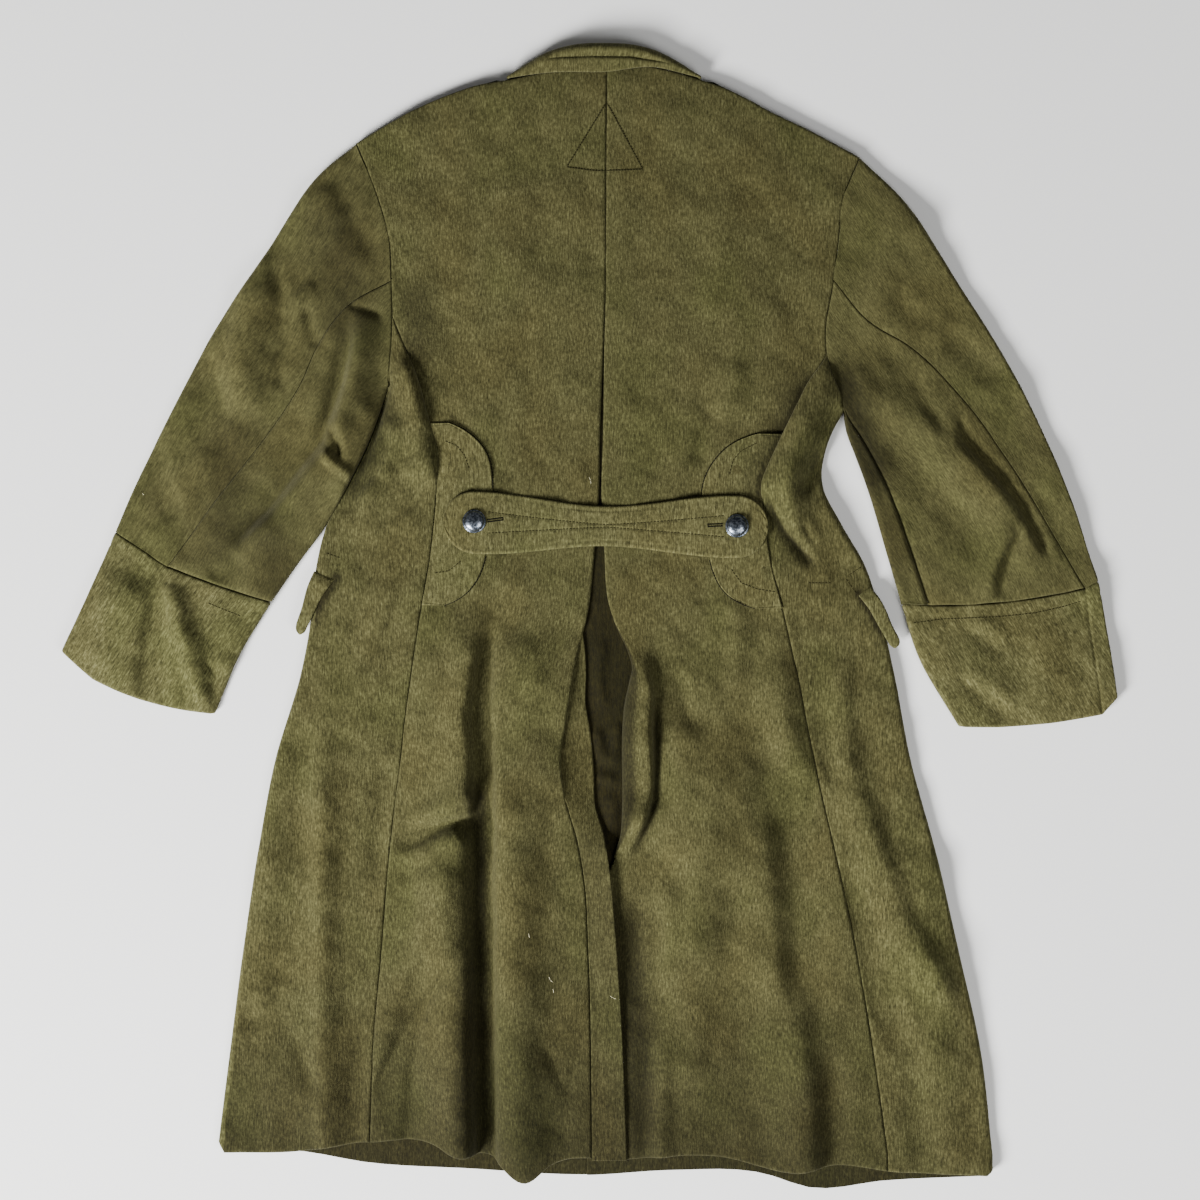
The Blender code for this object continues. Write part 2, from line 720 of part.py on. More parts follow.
def spread_between(first, last, start, bow, whole):
    """Columns between two rails that leave from given start points and end evenly along the rails."""
    lengths = np.concatenate([[0], np.cumsum(np.linalg.norm(np.diff(start, axis=0), axis=1))])
    xy = between(first, last, lengths / lengths[-1])
    fade = (1 - np.linspace(0, 1, len(first)))[:, None, None] ** START_FADE
    xy = xy + (start - xy[0])[None] * fade
    outer, inner = whole
    chord = inner - outer
    chord = chord / np.linalg.norm(chord, axis=1, keepdims=True)
    span = np.linalg.norm(inner - outer, axis=1)[:, None]
    share = np.clip(np.einsum("rck,rk->rc", xy - outer[:, None], chord) / span, 0, 1)
    down = np.where(chord[:, :1] > 0, 1, -1) * np.column_stack([chord[:, 1], -chord[:, 0]])
    return xy + (4 * share * (1 - share) * bow[:, None])[..., None] * down[:, None, :]


def directions(line):
    """Unit directions along each row of places."""
    run = np.gradient(line, axis=1)
    return run / np.linalg.norm(run, axis=-1, keepdims=True)


def flat_tube(upper, lower, folds):
    """A sleeve pressed flat: over the top to the inner edge, and back along the floor.

    Returns the ring of points of each row, and at each point the way across from the outer edge.
    """
    outer, inner = upper[:, 0].copy(), upper[:, -1].copy()
    upper, lower = upper.copy(), lower.copy()
    rise_out = height(outer[:, 0], outer[:, 1], folds) - FLOOR_LAYER
    rise_in = height(inner[:, 0], inner[:, 1], folds) - FLOOR_LAYER
    upper[:, 0] = lower[:, -1] = inset(outer, upper[:, 1], rise_out)
    upper[:, -1] = lower[:, 0] = inset(inner, upper[:, -2], rise_in)
    top = stack(upper, height(upper[..., 0], upper[..., 1], folds))
    low = stack(lower, FLOOR_LAYER)
    round_inner = bend(top[:, -1], low[:, 0], inner)
    round_outer = bend(top[:, 0], low[:, -1], outer)[:, ::-1]
    ring = np.concatenate([top, round_inner, low, round_outer], axis=1)
    on_top = directions(upper)
    inner_way = np.repeat(on_top[:, -1:], BEND_POINTS, axis=1)
    outer_way = np.repeat(on_top[:, :1], BEND_POINTS, axis=1)
    return ring, np.concatenate([on_top, inner_way, -directions(lower), outer_way], axis=1)


def sleeve(side, stations):
    """The ring of a sleeve, the way across it, the columns of its two seams, and its two layers."""
    (outer, hind, inner), bow = rails(stations, SLEEVE_ROWS)
    armhole, underarm = armhole_rail(side, ARM_SHARES)[::-1], underarm_rail(side)
    start = np.vstack([armhole, underarm[-2::-1]])
    hind_column = int(np.argmin(np.linalg.norm(start - hind[0], axis=1)))
    hind[0] = start[hind_column]
    whole = (outer, inner)
    top_part = spread_between(outer, hind, start[: hind_column + 1], bow, whole)
    under_part = spread_between(hind, inner, start[hind_column:], bow, whole)
    upper = np.concatenate([top_part, under_part[:, 1:]], axis=1)
    lower_start = np.vstack([underarm, armhole_rail(side, LOWER_ARM_SHARES)[1:]])
    lower = spread_between(inner, outer, lower_start, bow, whole)
    ring, across = flat_tube(upper, lower, SLEEVE_FOLDS)
    if side is RIGHT:
        front_column = upper.shape[1] - 1 - RIGHT_FRONT_COLUMNS
    else:
        front_column = upper.shape[1] + BEND_POINTS + LEFT_FRONT_COLUMNS
    return ring, across, hind_column, front_column, (upper, lower)


def cuff(stations, sleeve_end):
    """The ring of a cuff, which leaves from the end of its sleeve."""
    (outer, hind, inner), bow = rails(stations, CUFF_ROWS)
    upper_start, lower_start = sleeve_end
    hind_column = int(np.argmin(np.linalg.norm(upper_start - hind[0], axis=1)))
    bow = bow - bow[0] * (1 - np.linspace(0, 1, len(bow))) ** START_FADE
    whole = (outer, inner)
    top_part = spread_between(outer, hind, upper_start[: hind_column + 1], bow, whole)
    under_part = spread_between(hind, inner, upper_start[hind_column:], bow, whole)
    upper = np.concatenate([top_part, under_part[:, 1:]], axis=1)
    lower = spread_between(inner, outer, lower_start, bow, whole)
    return flat_tube(upper, lower, [])


def collar_grid():
    """The collar: its fall on the back, the roll, and the leaf that lies under the fronts."""
    x = np.linspace(*COLLAR_ENDS, COLLAR_ROWS)
    fall_y, roll_y = y_on(COLLAR_FALL, x), y_on(COLLAR_ROLL, x)
    fall = np.column_stack([x, fall_y])
    edge = np.column_stack([x, roll_y])
    seat = lay(x, fall_y) + LAYER + SEAM_GAP
    depth = np.minimum((seat - FLOOR_LAYER) / 2 + CLOTH / 2, TURN_SHARE * (roll_y - fall_y))
    turn = np.column_stack([x, roll_y - depth])
    top = between(fall, turn, np.linspace(0, 1, COLLAR_COLUMNS))
    crown = COLLAR_CROWN * ease(roll_y - fall_y, 0.0, 0.030)
    z = seat[:, None] + crown[:, None] * np.linspace(0, 1, COLLAR_COLUMNS)[None]
    top = stack(top, z)
    leaf = np.column_stack([x, np.full(len(x), COLLAR_LEAF)])
    low = stack(between(turn, leaf, np.linspace(0, 1, 3)), FLOOR_LAYER)
    return np.concatenate([top, bend(top[:, -1], low[:, 0], edge), low], axis=1)


def inlay_grid():
    """The flat inner cloth of the centre pleat."""
    y = np.linspace(INLAY["low"], INLAY["high"], INLAY_ROWS)
    left = np.column_stack([np.full(len(y), INLAY["left"]), y])
    right = np.column_stack([np.full(len(y), INLAY["right"]), y])
    return stack(between(left, right, np.linspace(0, 1, 3)), INLAY_HEIGHT)


def facing_grid():
    """The left vent facing: tucked under the left back above, and lapped over the right back below."""
    y = np.linspace(FACING_RIGHT[-1].y, FACING_RIGHT[0].y, FACING_ROWS)
    tuck = FACING_TUCK * ease(y, FACING_EMERGES[1], FACING_EMERGES[0])
    left = np.column_stack([x_on(LEFT_CENTRE, y) + FACING_CLEAR - tuck, y])
    right = np.column_stack([x_on(FACING_RIGHT, y), y])
    z = FACING_TUCKED + (FACING_ON_TOP - FACING_TUCKED) * ease(-y, -FACING_RISES[0], -FACING_RISES[1])
    return stack(between(left, right, np.linspace(0, 1, 3)), z[:, None])


def belt_half_width(x):
    """The half belt is narrow in the middle, widens to its ends, and the ends are round."""
    middle = sum(BELT_ENDS) / 2
    away = np.abs(x - middle)
    slim, broad = BELT_HALF_WIDTH
    width = slim + (broad - slim) * ease(away, 0.0, BELT_WAIST_REACH)
    into_end = np.clip(away - (BELT_ENDS[1] - middle - broad), 0, broad)
    return width * np.sqrt(1 - (into_end / broad) ** 2)


def belt_grid():
    """The half belt, which steps up over the patches at its ends."""
    middle, half = sum(BELT_ENDS) / 2, (BELT_ENDS[1] - BELT_ENDS[0]) / 2
    x = middle + half * BELT_END_SHARE * np.sin(np.linspace(-math.pi / 2, math.pi / 2, BELT_ROWS))
    y, width = y_on(BELT_MIDDLE_Y, x), belt_half_width(x)
    low, high = np.column_stack([x, y - width]), np.column_stack([x, y + width])
    on_back = CENTRE_HEIGHT + CLOTH / 2 + SEAM_GAP + BELT_CLOTH / 2
    left_step = x_on(LEFT.seam, WAIST_Y) + LEFT_PATCH.depth
    right_step = x_on(RIGHT.seam, WAIST_Y) - RIGHT_PATCH.depth
    over_left = 1 - ease(x, left_step, left_step + BELT_STEP)
    over_right = ease(x, right_step - BELT_STEP, right_step)
    step = (PATCH_CLOTH + SEAM_GAP) * np.maximum(over_left, over_right)
    return stack(between(low, high, np.linspace(0, 1, BELT_COLUMNS + 1)), (on_back + step)[:, None])


def patch_grid(side, patch):
    """A half-round patch that leaves from the side seam, on the level waist of the back."""
    turn = np.linspace(-PATCH_END_SHARE, PATCH_END_SHARE, PATCH_ROWS)
    y = (patch.high + patch.low) / 2 + (patch.high - patch.low) / 2 * turn
    along, inward = PATCH_SQUARE
    reach = patch.depth * (1 - np.abs(turn) ** along) ** (1 / inward)
    seam = x_on(side.seam, y)
    first = np.column_stack([seam, y])
    last = np.column_stack([seam - side.out * reach, y])
    z = CENTRE_HEIGHT + CLOTH / 2 + SEAM_GAP + PATCH_CLOTH / 2
    return stack(between(first, last, np.linspace(0, 1, PATCH_COLUMNS + 1)), z)


def flap_grid(flap):
    """The end of a pocket flap, from its root on the side down to its tip beside the edge."""
    at = np.linspace(0, len(FLAP_RISE) - 1, FLAP_ROWS)
    knots = np.arange(len(FLAP_RISE))
    lines = {}
    for name, places in flap.items():
        line = np.array(places)
        lines[name] = np.column_stack([curve(knots, line[:, i], at) for i in (0, 1)])
    root = height(*lines["inner"][0], STRIP_FOLDS)
    z = root + curve(knots, FLAP_RISE, at)
    shares = np.linspace(0, 1, 3)
    return stack(between(lines["inner"], lines["outer"], shares), z[:, None])


def button_mesh(name):
    """A turned button: a low dome over an upright rim, with a flat back."""
    angles = np.linspace(math.pi / 2, 0, BUTTON_DOME_POINTS)
    profile = [(BUTTON_RADIUS * math.cos(a), BUTTON_RIM + BUTTON_DOME * math.sin(a)) for a in angles]
    profile[0] = (0.0, BUTTON_RIM + BUTTON_DOME)
    profile += [(BUTTON_RADIUS, 0.0), (0.0, 0.0)]
    mesh = bpy.data.meshes.new(name)
    edges = [(i, i + 1) for i in range(len(profile) - 1)]
    mesh.from_pydata([(x, 0.0, z) for x, z in profile], edges, [])
    return mesh


def add_button(name, place, finish, root, collection):
    """A button on an end of the half belt."""
    button = add_object(name, button_mesh(name), finish, root, collection)
    belt_top = CENTRE_HEIGHT + CLOTH / 2 + 2 * SEAM_GAP + PATCH_CLOTH + BELT_CLOTH
    button.location = (place.x, place.y, belt_top + SEAM_GAP)
    turn = button.modifiers.new("Turn", "SCREW")
    turn.steps = turn.render_steps = BUTTON_SIDES
    turn.use_merge_vertices = True
    turn.merge_threshold = 0.0001


def ways(grid, x, y):
    """The same way across at every point of a grid."""
    return np.broadcast_to([float(x), float(y)], (*grid.shape[:2], 2))


def main():
    """Clears the scene and makes every piece of the coat under one root."""
    for old in list(bpy.data.objects):
        bpy.data.objects.remove(old, do_unlink=True)
    collection = bpy.data.collections.new("military_greatcoat")
    bpy.context.scene.collection.children.link(collection)
    root = bpy.data.objects.new("greatcoat_root", None)
    root.location = ROOT_PLACE
    collection.objects.link(root)
    wool = material("Milled wool", WOOL, 0.95)
    inside = material("Milled wool in shade", WOOL_INSIDE, 0.95)
    metal = material("Blackened button metal", BUTTON_METAL, 0.35, 1.0)

    def add_wall(name, grid, across, thickness=CLOTH, ring=False, finish=wool):
        add_object(name, wall_mesh(name, grid, across, thickness, ring), finish, root, collection)

    for name, side, stations, cuff_stations in (
        ("left", LEFT, LEFT_SLEEVE, LEFT_CUFF),
        ("right", RIGHT, RIGHT_SLEEVE, RIGHT_CUFF),
    ):
        front, back = front_grid(side), back_grid(side)
        add_wall(f"front_{name}", front, ways(front, side.out, 0))
        add_wall(f"back_{name}", back, ways(back, -side.out, 0))
        ring, across, hind, seam, ends = sleeve(side, stations)
        add_wall(f"sleeve_under_{name}", ring[:, hind : seam + 1], across[:, hind : seam + 1])
        columns = [*range(seam, ring.shape[1]), *range(hind + 1)]
        add_wall(f"sleeve_top_{name}", ring[:, columns], across[:, columns])
        tube, across = cuff(cuff_stations, [end[-1] for end in ends])
        add_wall(f"cuff_{name}", tube, across, ring=True)

    for name, grid, across, thickness, finish in (
        ("collar", collar_grid(), (0, 1), CLOTH, wool),
        ("pleat_inlay", inlay_grid(), (1, 0), CLOTH, inside),
        ("vent_facing", facing_grid(), (1, 0), CLOTH, wool),
        ("half_belt", belt_grid(), (0, 1), BELT_CLOTH, wool),
        ("belt_patch_left", patch_grid(LEFT, LEFT_PATCH), (1, 0), PATCH_CLOTH, wool),
        ("belt_patch_right", patch_grid(RIGHT, RIGHT_PATCH), (-1, 0), PATCH_CLOTH, wool),
        ("pocket_flap_left", flap_grid(LEFT_FLAP), (-1, 0), FLAP_CLOTH, wool),
        ("pocket_flap_right", flap_grid(RIGHT_FLAP), (1, 0), FLAP_CLOTH, wool),
    ):
        add_wall(name, grid, ways(grid, *across), thickness, finish=finish)

    for name, place in BUTTONS.items():
        add_button(f"belt_button_{name}", place, metal, root, collection)


main()
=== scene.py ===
"""Looks of a military greatcoat of milled wool, laid out on the floor with its back upwards.

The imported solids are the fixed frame. Each cloth piece here is a thin closed shell on its solid's form,
finer than the solid and with the coat's own creases, and it stands in for that solid. Sizes are in
metres. Tables of lines on the coat are in millimetres: +X to the wearer's right, +Y up to the collar.
"""

import logging
import math
from dataclasses import dataclass
from enum import Enum
from typing import Mapping, NamedTuple, Sequence

import bmesh
import bpy
import numpy as np
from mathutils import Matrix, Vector
from mathutils.bvhtree import BVHTree


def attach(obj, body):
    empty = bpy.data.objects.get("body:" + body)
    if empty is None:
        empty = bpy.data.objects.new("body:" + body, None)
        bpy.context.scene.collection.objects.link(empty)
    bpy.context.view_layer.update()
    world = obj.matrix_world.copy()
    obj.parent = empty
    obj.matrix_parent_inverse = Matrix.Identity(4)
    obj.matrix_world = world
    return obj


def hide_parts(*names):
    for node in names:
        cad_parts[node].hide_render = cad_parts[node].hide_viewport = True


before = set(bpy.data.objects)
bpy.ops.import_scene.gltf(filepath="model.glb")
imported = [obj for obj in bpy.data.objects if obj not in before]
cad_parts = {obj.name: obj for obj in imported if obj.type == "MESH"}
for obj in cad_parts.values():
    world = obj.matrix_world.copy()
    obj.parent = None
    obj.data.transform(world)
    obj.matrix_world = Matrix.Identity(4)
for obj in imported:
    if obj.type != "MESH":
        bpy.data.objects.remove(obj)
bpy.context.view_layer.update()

Array = np.ndarray
Line = Sequence[tuple[float, float]]
Piece = bpy.types.Object
Material = bpy.types.Material
NodeTree = bpy.types.NodeTree
Socket = bpy.types.NodeSocket

LOG = logging.getLogger("greatcoat")
BODY = "root"
MM = 0.001

# Where the coat's own middle lies in the frame
COAT_PLACE = np.array([1.0, -0.15, 0.0]) * MM

# Cloth and sewing
CLOTH = 2.6 * MM
SEAM_GAP = 0.3 * MM
LAYER = CLOTH + SEAM_GAP
FLOOR_LAYER = CLOTH / 2
PATCH_CLOTH = 1.6 * MM
BELT_CLOTH = 3.6 * MM
FLAP_CLOTH = 3.4 * MM
SIDE_HEIGHT = 8.0 * MM
CENTRE_HEIGHT = 10.5 * MM
INLAY_HEIGHT = FLOOR_LAYER + 2 * LAYER
LEAST_HEIGHT = FLOOR_LAYER + LAYER + SEAM_GAP
FACING_TUCKED = INLAY_HEIGHT + LAYER

# The pleat's inner cloth: left, right, low and high, in millimetres, and how the cloth comes down round it
INLAY_BOX = (-50.0, 70.0, -270.0, 330.0)
INLAY_RAMP = (24 * MM, 4 * MM)

# How close together the points of a shell lie: in the open, in from an edge, and round a folded edge
STEP = 3.4 * MM
COARSE_STEP = 14.0 * MM
RIM_STEPS = np.array([0.0, 0.7, 1.5, 2.6, 4.2, 6.4]) * MM
BEND_POINTS = 8
TURN_COLUMNS = 3

# The thicker middle of the back and the level waist under the half belt
CENTRE_X = 12 * MM
CENTRE_REACH = 135 * MM
WAIST_Y = 100 * MM
WAIST_REACH = (200 * MM, 105 * MM)
ZONE_FADE = 80 * MM

# Where the right front's lap begins, and where it comes down from the left front to the floor
LAP_START = (-30 * MM, -4 * MM)
LAP_RAMP = (150 * MM, 210 * MM)

# How softly a trough ends on the layers below it, and over which share of its length a crease dies away
TROUGH_ROUND = 3.0 * MM
END_FADE = 0.22

# How far from a sewn edge a crease is held flat, and how much of a narrow piece its folded edge may take
SEAM_HOLD = 10 * MM
TURN_SHARE = 0.6

# The slight waves of unpressed cloth: length and height, in millimetres, with this seed for their directions
WAVES = ((95, 0.55), (70, 0.45), (52, 0.36), (41, 0.30), (33, 0.24), (26, 0.16), (19, 0.10))
WAVE_SEED = 12


class Half(Enum):
    """The two halves of the coat, with the way out from its middle along X."""

    LEFT = -1
    RIGHT = 1

    @property
    def label(self) -> str:
        """The half's name in piece names."""
        return self.name.lower()


class Slot(Enum):
    """The record's material slots."""

    WOOL = "milled_wool"
    INSIDE = "milled_wool_inside"
    METAL = "button_metal"


@dataclass(frozen=True)
class Crease:
    """A soft ridge, or a trough where its rise is negative, along a line. All in millimetres.

    left and right are its spread on the two sides of the line, looking along it. fades says that it
    dies away at both ends.
    """

    line: Line
    rise: float
    left: float
    right: float
    fades: bool = True

    def at(self, x: Array, y: Array) -> Array:
        """What the crease adds to the height.

        Args:
            x, y: places on the coat, in metres.

        Returns:
            The added height at each place, in metres.
        """
        points = np.array(self.line, float) * MM
        runs = np.diff(points, axis=0)
        lengths = np.linalg.norm(runs, axis=1)
        before = np.concatenate([[0.0], np.cumsum(lengths)]) / lengths.sum()
        away = np.full(np.shape(x), np.inf)
        side = np.zeros(np.shape(x))
        along = np.zeros(np.shape(x))
        for index, run in enumerate(runs):
            dx, dy = x - points[index, 0], y - points[index, 1]
            share = np.clip((dx * run[0] + dy * run[1]) / (run @ run), 0.0, 1.0)
            dx, dy = dx - share * run[0], dy - share * run[1]
            distance = np.hypot(dx, dy)
            nearer = distance < away
            away = np.where(nearer, distance, away)
            side = np.where(nearer, run[0] * dy - run[1] * dx, side)
            here = before[index] + share * (before[index + 1] - before[index])
            along = np.where(nearer, here, along)
        spread = np.where(side > 0, self.left, self.right) * MM
        rise = self.rise * MM * np.exp(-((away / spread) ** 2))
        if self.fades:
            rise = rise * ease(np.minimum(along, 1 - along), 0.0, END_FADE)
        return rise


def fold(line: Line, rise: float, spread: float) -> Crease:
    """One of the solids' own folds: even on both sides and as high at its ends."""
    return Crease(line, rise, spread, spread, fades=False)


def total(creases: Sequence[Crease], x: Array, y: Array) -> Array:
    """What several creases add together at places on the coat, in metres."""
    return sum((item.at(x, y) for item in creases), np.zeros(np.shape(x)))


def ease(value: Array, low: float, high: float) -> Array:
    """0 at low and 1 at high, with a soft start and end."""
    t = np.clip((np.asarray(value, float) - low) / (high - low), 0.0, 1.0)
    return t * t * (3 - 2 * t)


def round_off(distance: Array, radius: float) -> Array:
    """A quarter circle: 0 at an edge and 1 from the radius on."""
    t = np.clip(np.asarray(distance, float) / radius, 0.0, 1.0)
    return np.sqrt(np.maximum(0.0, 1 - (1 - t) ** 2))


def curve(knots: Array, values: Array, at: Array) -> Array:
    """A smooth curve through values at rising knots.

    Args:
        knots, values: the points that it passes through.
        at: the places where it is read.

    Returns:
        Its value at each of those places.
    """
    knots, values, at = (np.asarray(item, float) for item in (knots, values, at))
    slopes = np.gradient(values, knots)
    first = np.clip(np.searchsorted(knots, at) - 1, 0, len(knots) - 2)
    span = knots[first + 1] - knots[first]
    t = np.clip((at - knots[first]) / span, 0.0, 1.0)
    start = (1 + 2 * t) * (1 - t) ** 2 * values[first] + t * (1 - t) ** 2 * span * slopes[first]
    end = t**2 * (3 - 2 * t) * values[first + 1] - t**2 * (1 - t) * span * slopes[first + 1]
    return start + end


def x_on(line: Line, y: Array) -> Array:
    """How far across a line lies, in metres, at a height on the coat."""
    rows = np.array(sorted(line, key=lambda place: place[1])) * MM
    return curve(rows[:, 1], rows[:, 0], y)


def y_on(line: Line, x: Array) -> Array:
    """How far up a line lies, in metres, at a place across the coat."""
    rows = np.array(sorted(line)) * MM
    return curve(rows[:, 0], rows[:, 1], x)


def rail(line: Line, y: Array) -> Array:
    """A line's places, in metres, at heights on the coat."""
    return np.column_stack([x_on(line, y), y])


def through(places: Line, at: Array) -> Array:
    """A smooth run through a few places in millimetres, read at shares of their numbers, in metres."""
    knots, points = np.arange(len(places)), np.array(places, float) * MM
    return np.column_stack([curve(knots, points[:, axis], at) for axis in (0, 1)])


def spaced(length: float, step: float, first: bool = True, last: bool = True) -> Array:
    """Shares from 0 to 1 that lie close together at the ends that are edges.

    Args:
        length: the length that the shares divide, in metres.
        step: the distance between points in the open.
        first, last: whether that end is an edge.

    Returns:
        The rising shares.
    """
    head = RIM_STEPS if first else np.zeros(1)
    tail = RIM_STEPS if last else np.zeros(1)
    open_length = length - head[-1] - tail[-1]
    count = max(2, int(round(open_length / step)))
    middle = np.linspace(head[-1], length - tail[-1], count + 1)[1:-1]
    return np.concatenate([head, middle, length - tail[::-1]]) / length


def half_turn(count: int) -> Array:
    """Angles from straight down to straight up."""
    return np.linspace(-math.pi / 2, math.pi / 2, count)


def stack(xy: Array, z: Array) -> Array:
    """Points from places seen from above and heights."""
    return np.concatenate([xy, np.broadcast_to(z, xy.shape[:-1])[..., None]], axis=-1)


def between(first: Array, last: Array, shares: Array) -> Array:
    """Rows of places from the first rail to the last."""
    shares = np.asarray(shares)[None, :, None]
    return first[:, None, :] * (1 - shares) + last[:, None, :] * shares


def lengths_along(grid: Array, axis: int) -> Array:
    """The distance of each point of a grid from the open end before it.

    Args:
        grid: the points, empty where they aren't numbers.
        axis: 1 along the rows, 0 along the columns.

    Returns:
        The distances, which start again after each empty point.
    """
    moved = np.moveaxis(grid, axis, 0)
    reached = np.zeros(moved.shape[:2])
    for index in range(1, len(moved)):
        step = np.linalg.norm(moved[index] - moved[index - 1], axis=-1)
        reached[index] = np.where(np.isnan(step), 0.0, reached[index - 1] + np.nan_to_num(step))
    return np.moveaxis(reached, 0, axis)


def lengths_back(grid: Array, axis: int) -> Array:
    """The same distance from the open end after each point."""
    return np.flip(lengths_along(np.flip(grid, axis), axis), axis)


def evened(values: Array, axis: int, times: int = 150) -> Array:
    """Averages values with their neighbours, many times over.

    Args:
        values: the values on a grid.
        axis: the way in which the neighbours lie.
        times: how often.

    Returns:
        The evened values.
    """
    moved = np.moveaxis(values, axis, 0)
    for _ in range(times):
        near = np.concatenate([moved[:1], moved, moved[-1:]])
        moved = (near[:-2] + 2 * moved + near[2:]) / 4
    return np.moveaxis(moved, 0, axis)


def waist_share(x: Array, y: Array) -> Array:
    """How far a place, in metres, is in the level zone round the half belt.

    Args:
        x, y: places on the coat.

    Returns:
        1 in the zone, and 0 well outside it.
    """
    across = ease(np.abs(x - CENTRE_X), WAIST_REACH[0], WAIST_REACH[0] + ZONE_FADE)
    along = ease(np.abs(y - WAIST_Y), WAIST_REACH[1], WAIST_REACH[1] + ZONE_FADE)
    return (1 - across) * (1 - along)


def lay(x: Array, y: Array) -> Array:
    """The height of the top layer before any fold: thicker in the middle and at the waist.

    Args:
        x, y: places on the coat.

    Returns:
        The height of the middle of the cloth.
    """
    centre = 1 - ease(np.abs(x - CENTRE_X), CENTRE_REACH, CENTRE_REACH + ZONE_FADE)
    share = 1 - (1 - centre) * (1 - waist_share(x, y))
    return SIDE_HEIGHT + (CENTRE_HEIGHT - SIDE_HEIGHT) * share


def unevenness(x: Array, y: Array) -> Array:
    """The slight waves of cloth that isn't pressed: a few crossing waves of seeded direction.

    Args:
        x, y: places on the coat.

    Returns:
        What the waves add to the height.
    """
    draw = np.random.default_rng(WAVE_SEED)
    height = np.zeros(np.shape(x))
    for length, rise in WAVES:
        for _ in range(2):
            turn, start = draw.uniform(0, 2 * math.pi, 2)
            phase = 2 * math.pi * (x * math.cos(turn) + y * math.sin(turn)) / (length * MM) + start
            height += rise * MM * np.sin(phase)
    return height


def within(value: Array, low: float, high: float) -> Array:
    """1 over a stretch of the pleat's inner cloth, and 0 well outside it."""
    far, near = INLAY_RAMP
    return ease(value, low - far, low - near) * (1 - ease(value, high + near, high + far))


def least_height(x: Array, y: Array) -> Array:
    """The lowest that the top layer lies: on one front, on both, or on the pleat's inner cloth.

    Args:
        x, y: places on the coat.

    Returns:
        The least height of the middle of the cloth.
    """
    left, right, low, high = (value * MM for value in INLAY_BOX)
    both = ease(x, *LAP_START) * (1 - ease(x, *LAP_RAMP))
    fronts = LEAST_HEIGHT + LAYER * both
    inlay = within(x, left, right) * within(y, low, high)
    return np.maximum(fronts, fronts + inlay * (INLAY_HEIGHT + LAYER - fronts))


@dataclass(frozen=True)
class Relief:
    """The height of a top layer.

    folds are the solids' own and press out at the waist where calm is set. creases are finer. shades
    are lines of painted shade, in folds, beside raised edges and towards the hem, and their rise is its
    share.
    """

    folds: Sequence[Crease]
    creases: Sequence[Crease]
    calm: bool = False
    shades: Sequence[Crease] = ()

    def shade(self, xy: Array) -> Array:
        """How much painted shade lies at places in metres, from 0 to 1."""
        return np.clip(total(self.shades, xy[..., 0], xy[..., 1]) / MM, 0, 1)

    def height(self, x: Array, y: Array, hold: Array) -> Array:
        """The height at places on the coat.

        Args:
            x, y: the places, in metres.
            hold: the share of each fold and crease that is free, 0 at a sewn edge.

        Returns:
            The heights of the middle of the cloth.
        """
        rise = total(self.folds, x, y)
        if self.calm:
            rise = rise * (1 - waist_share(x, y))
        rise = rise + total(self.creases, x, y)
        rise = (rise + unevenness(x, y)) * hold
        least = least_height(x, y)
        above = lay(x, y) + rise - least
        soft = TROUGH_ROUND * (1 - waist_share(x, y))
        return least + (above + np.sqrt(above**2 + soft**2)) / 2


def link(name: str, mesh: bpy.types.Mesh, finish: Material) -> Piece:
    """Adds a piece with its finish, riding on the coat's only body.

    Args:
        name: the piece's name.
        mesh: its shape.
        finish: its material.

    Returns:
        The new piece.
    """
    piece = bpy.data.objects.new(name, mesh)
    piece.data.materials.append(finish)
    bpy.context.scene.collection.objects.link(piece)
    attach(piece, BODY)
    return piece


def smooth_mesh(name: str, points: Array, faces: Sequence[Sequence[int]]) -> bpy.types.Mesh:
    """Makes a smooth mesh with its faces pointing outwards, moved to the coat's place.

    Args:
        name: the mesh's name.
        points: its points on the coat.
        faces: the numbers of each face's points.

    Returns:
        The new mesh.
    """
    mesh = bpy.data.meshes.new(name)
    mesh.from_pydata((points + COAT_PLACE).tolist(), [], faces)
    shape = bmesh.new()
    shape.from_mesh(mesh)
    bmesh.ops.recalc_face_normals(shape, faces=shape.faces[:])
    shape.to_mesh(mesh)
    shape.free()
    mesh.shade_smooth()
    return mesh


@dataclass(frozen=True)
class Rim:
    """How a shell's outer face rounds down at its open edges."""

    depth: float
    radius: float

    def drop(self, distance: Array) -> Array:
        """How far the outer face lies below its full height, at distances from the edge."""
        return self.depth * (1 - round_off(distance, self.radius))


@dataclass(frozen=True)
class Groove:
    """The soft hollow that sewing pulls into the cloth."""

    depth: float
    width: float

    def at(self, distance: Array) -> Array:
        """How deep the hollow is at distances from its middle."""
        return self.depth * np.exp(-((distance / self.width) ** 2))


SEWN_EDGE = Rim(2.2 * MM, 2.8 * MM)
CUT_EDGE = Rim(1.0 * MM, 1.6 * MM)


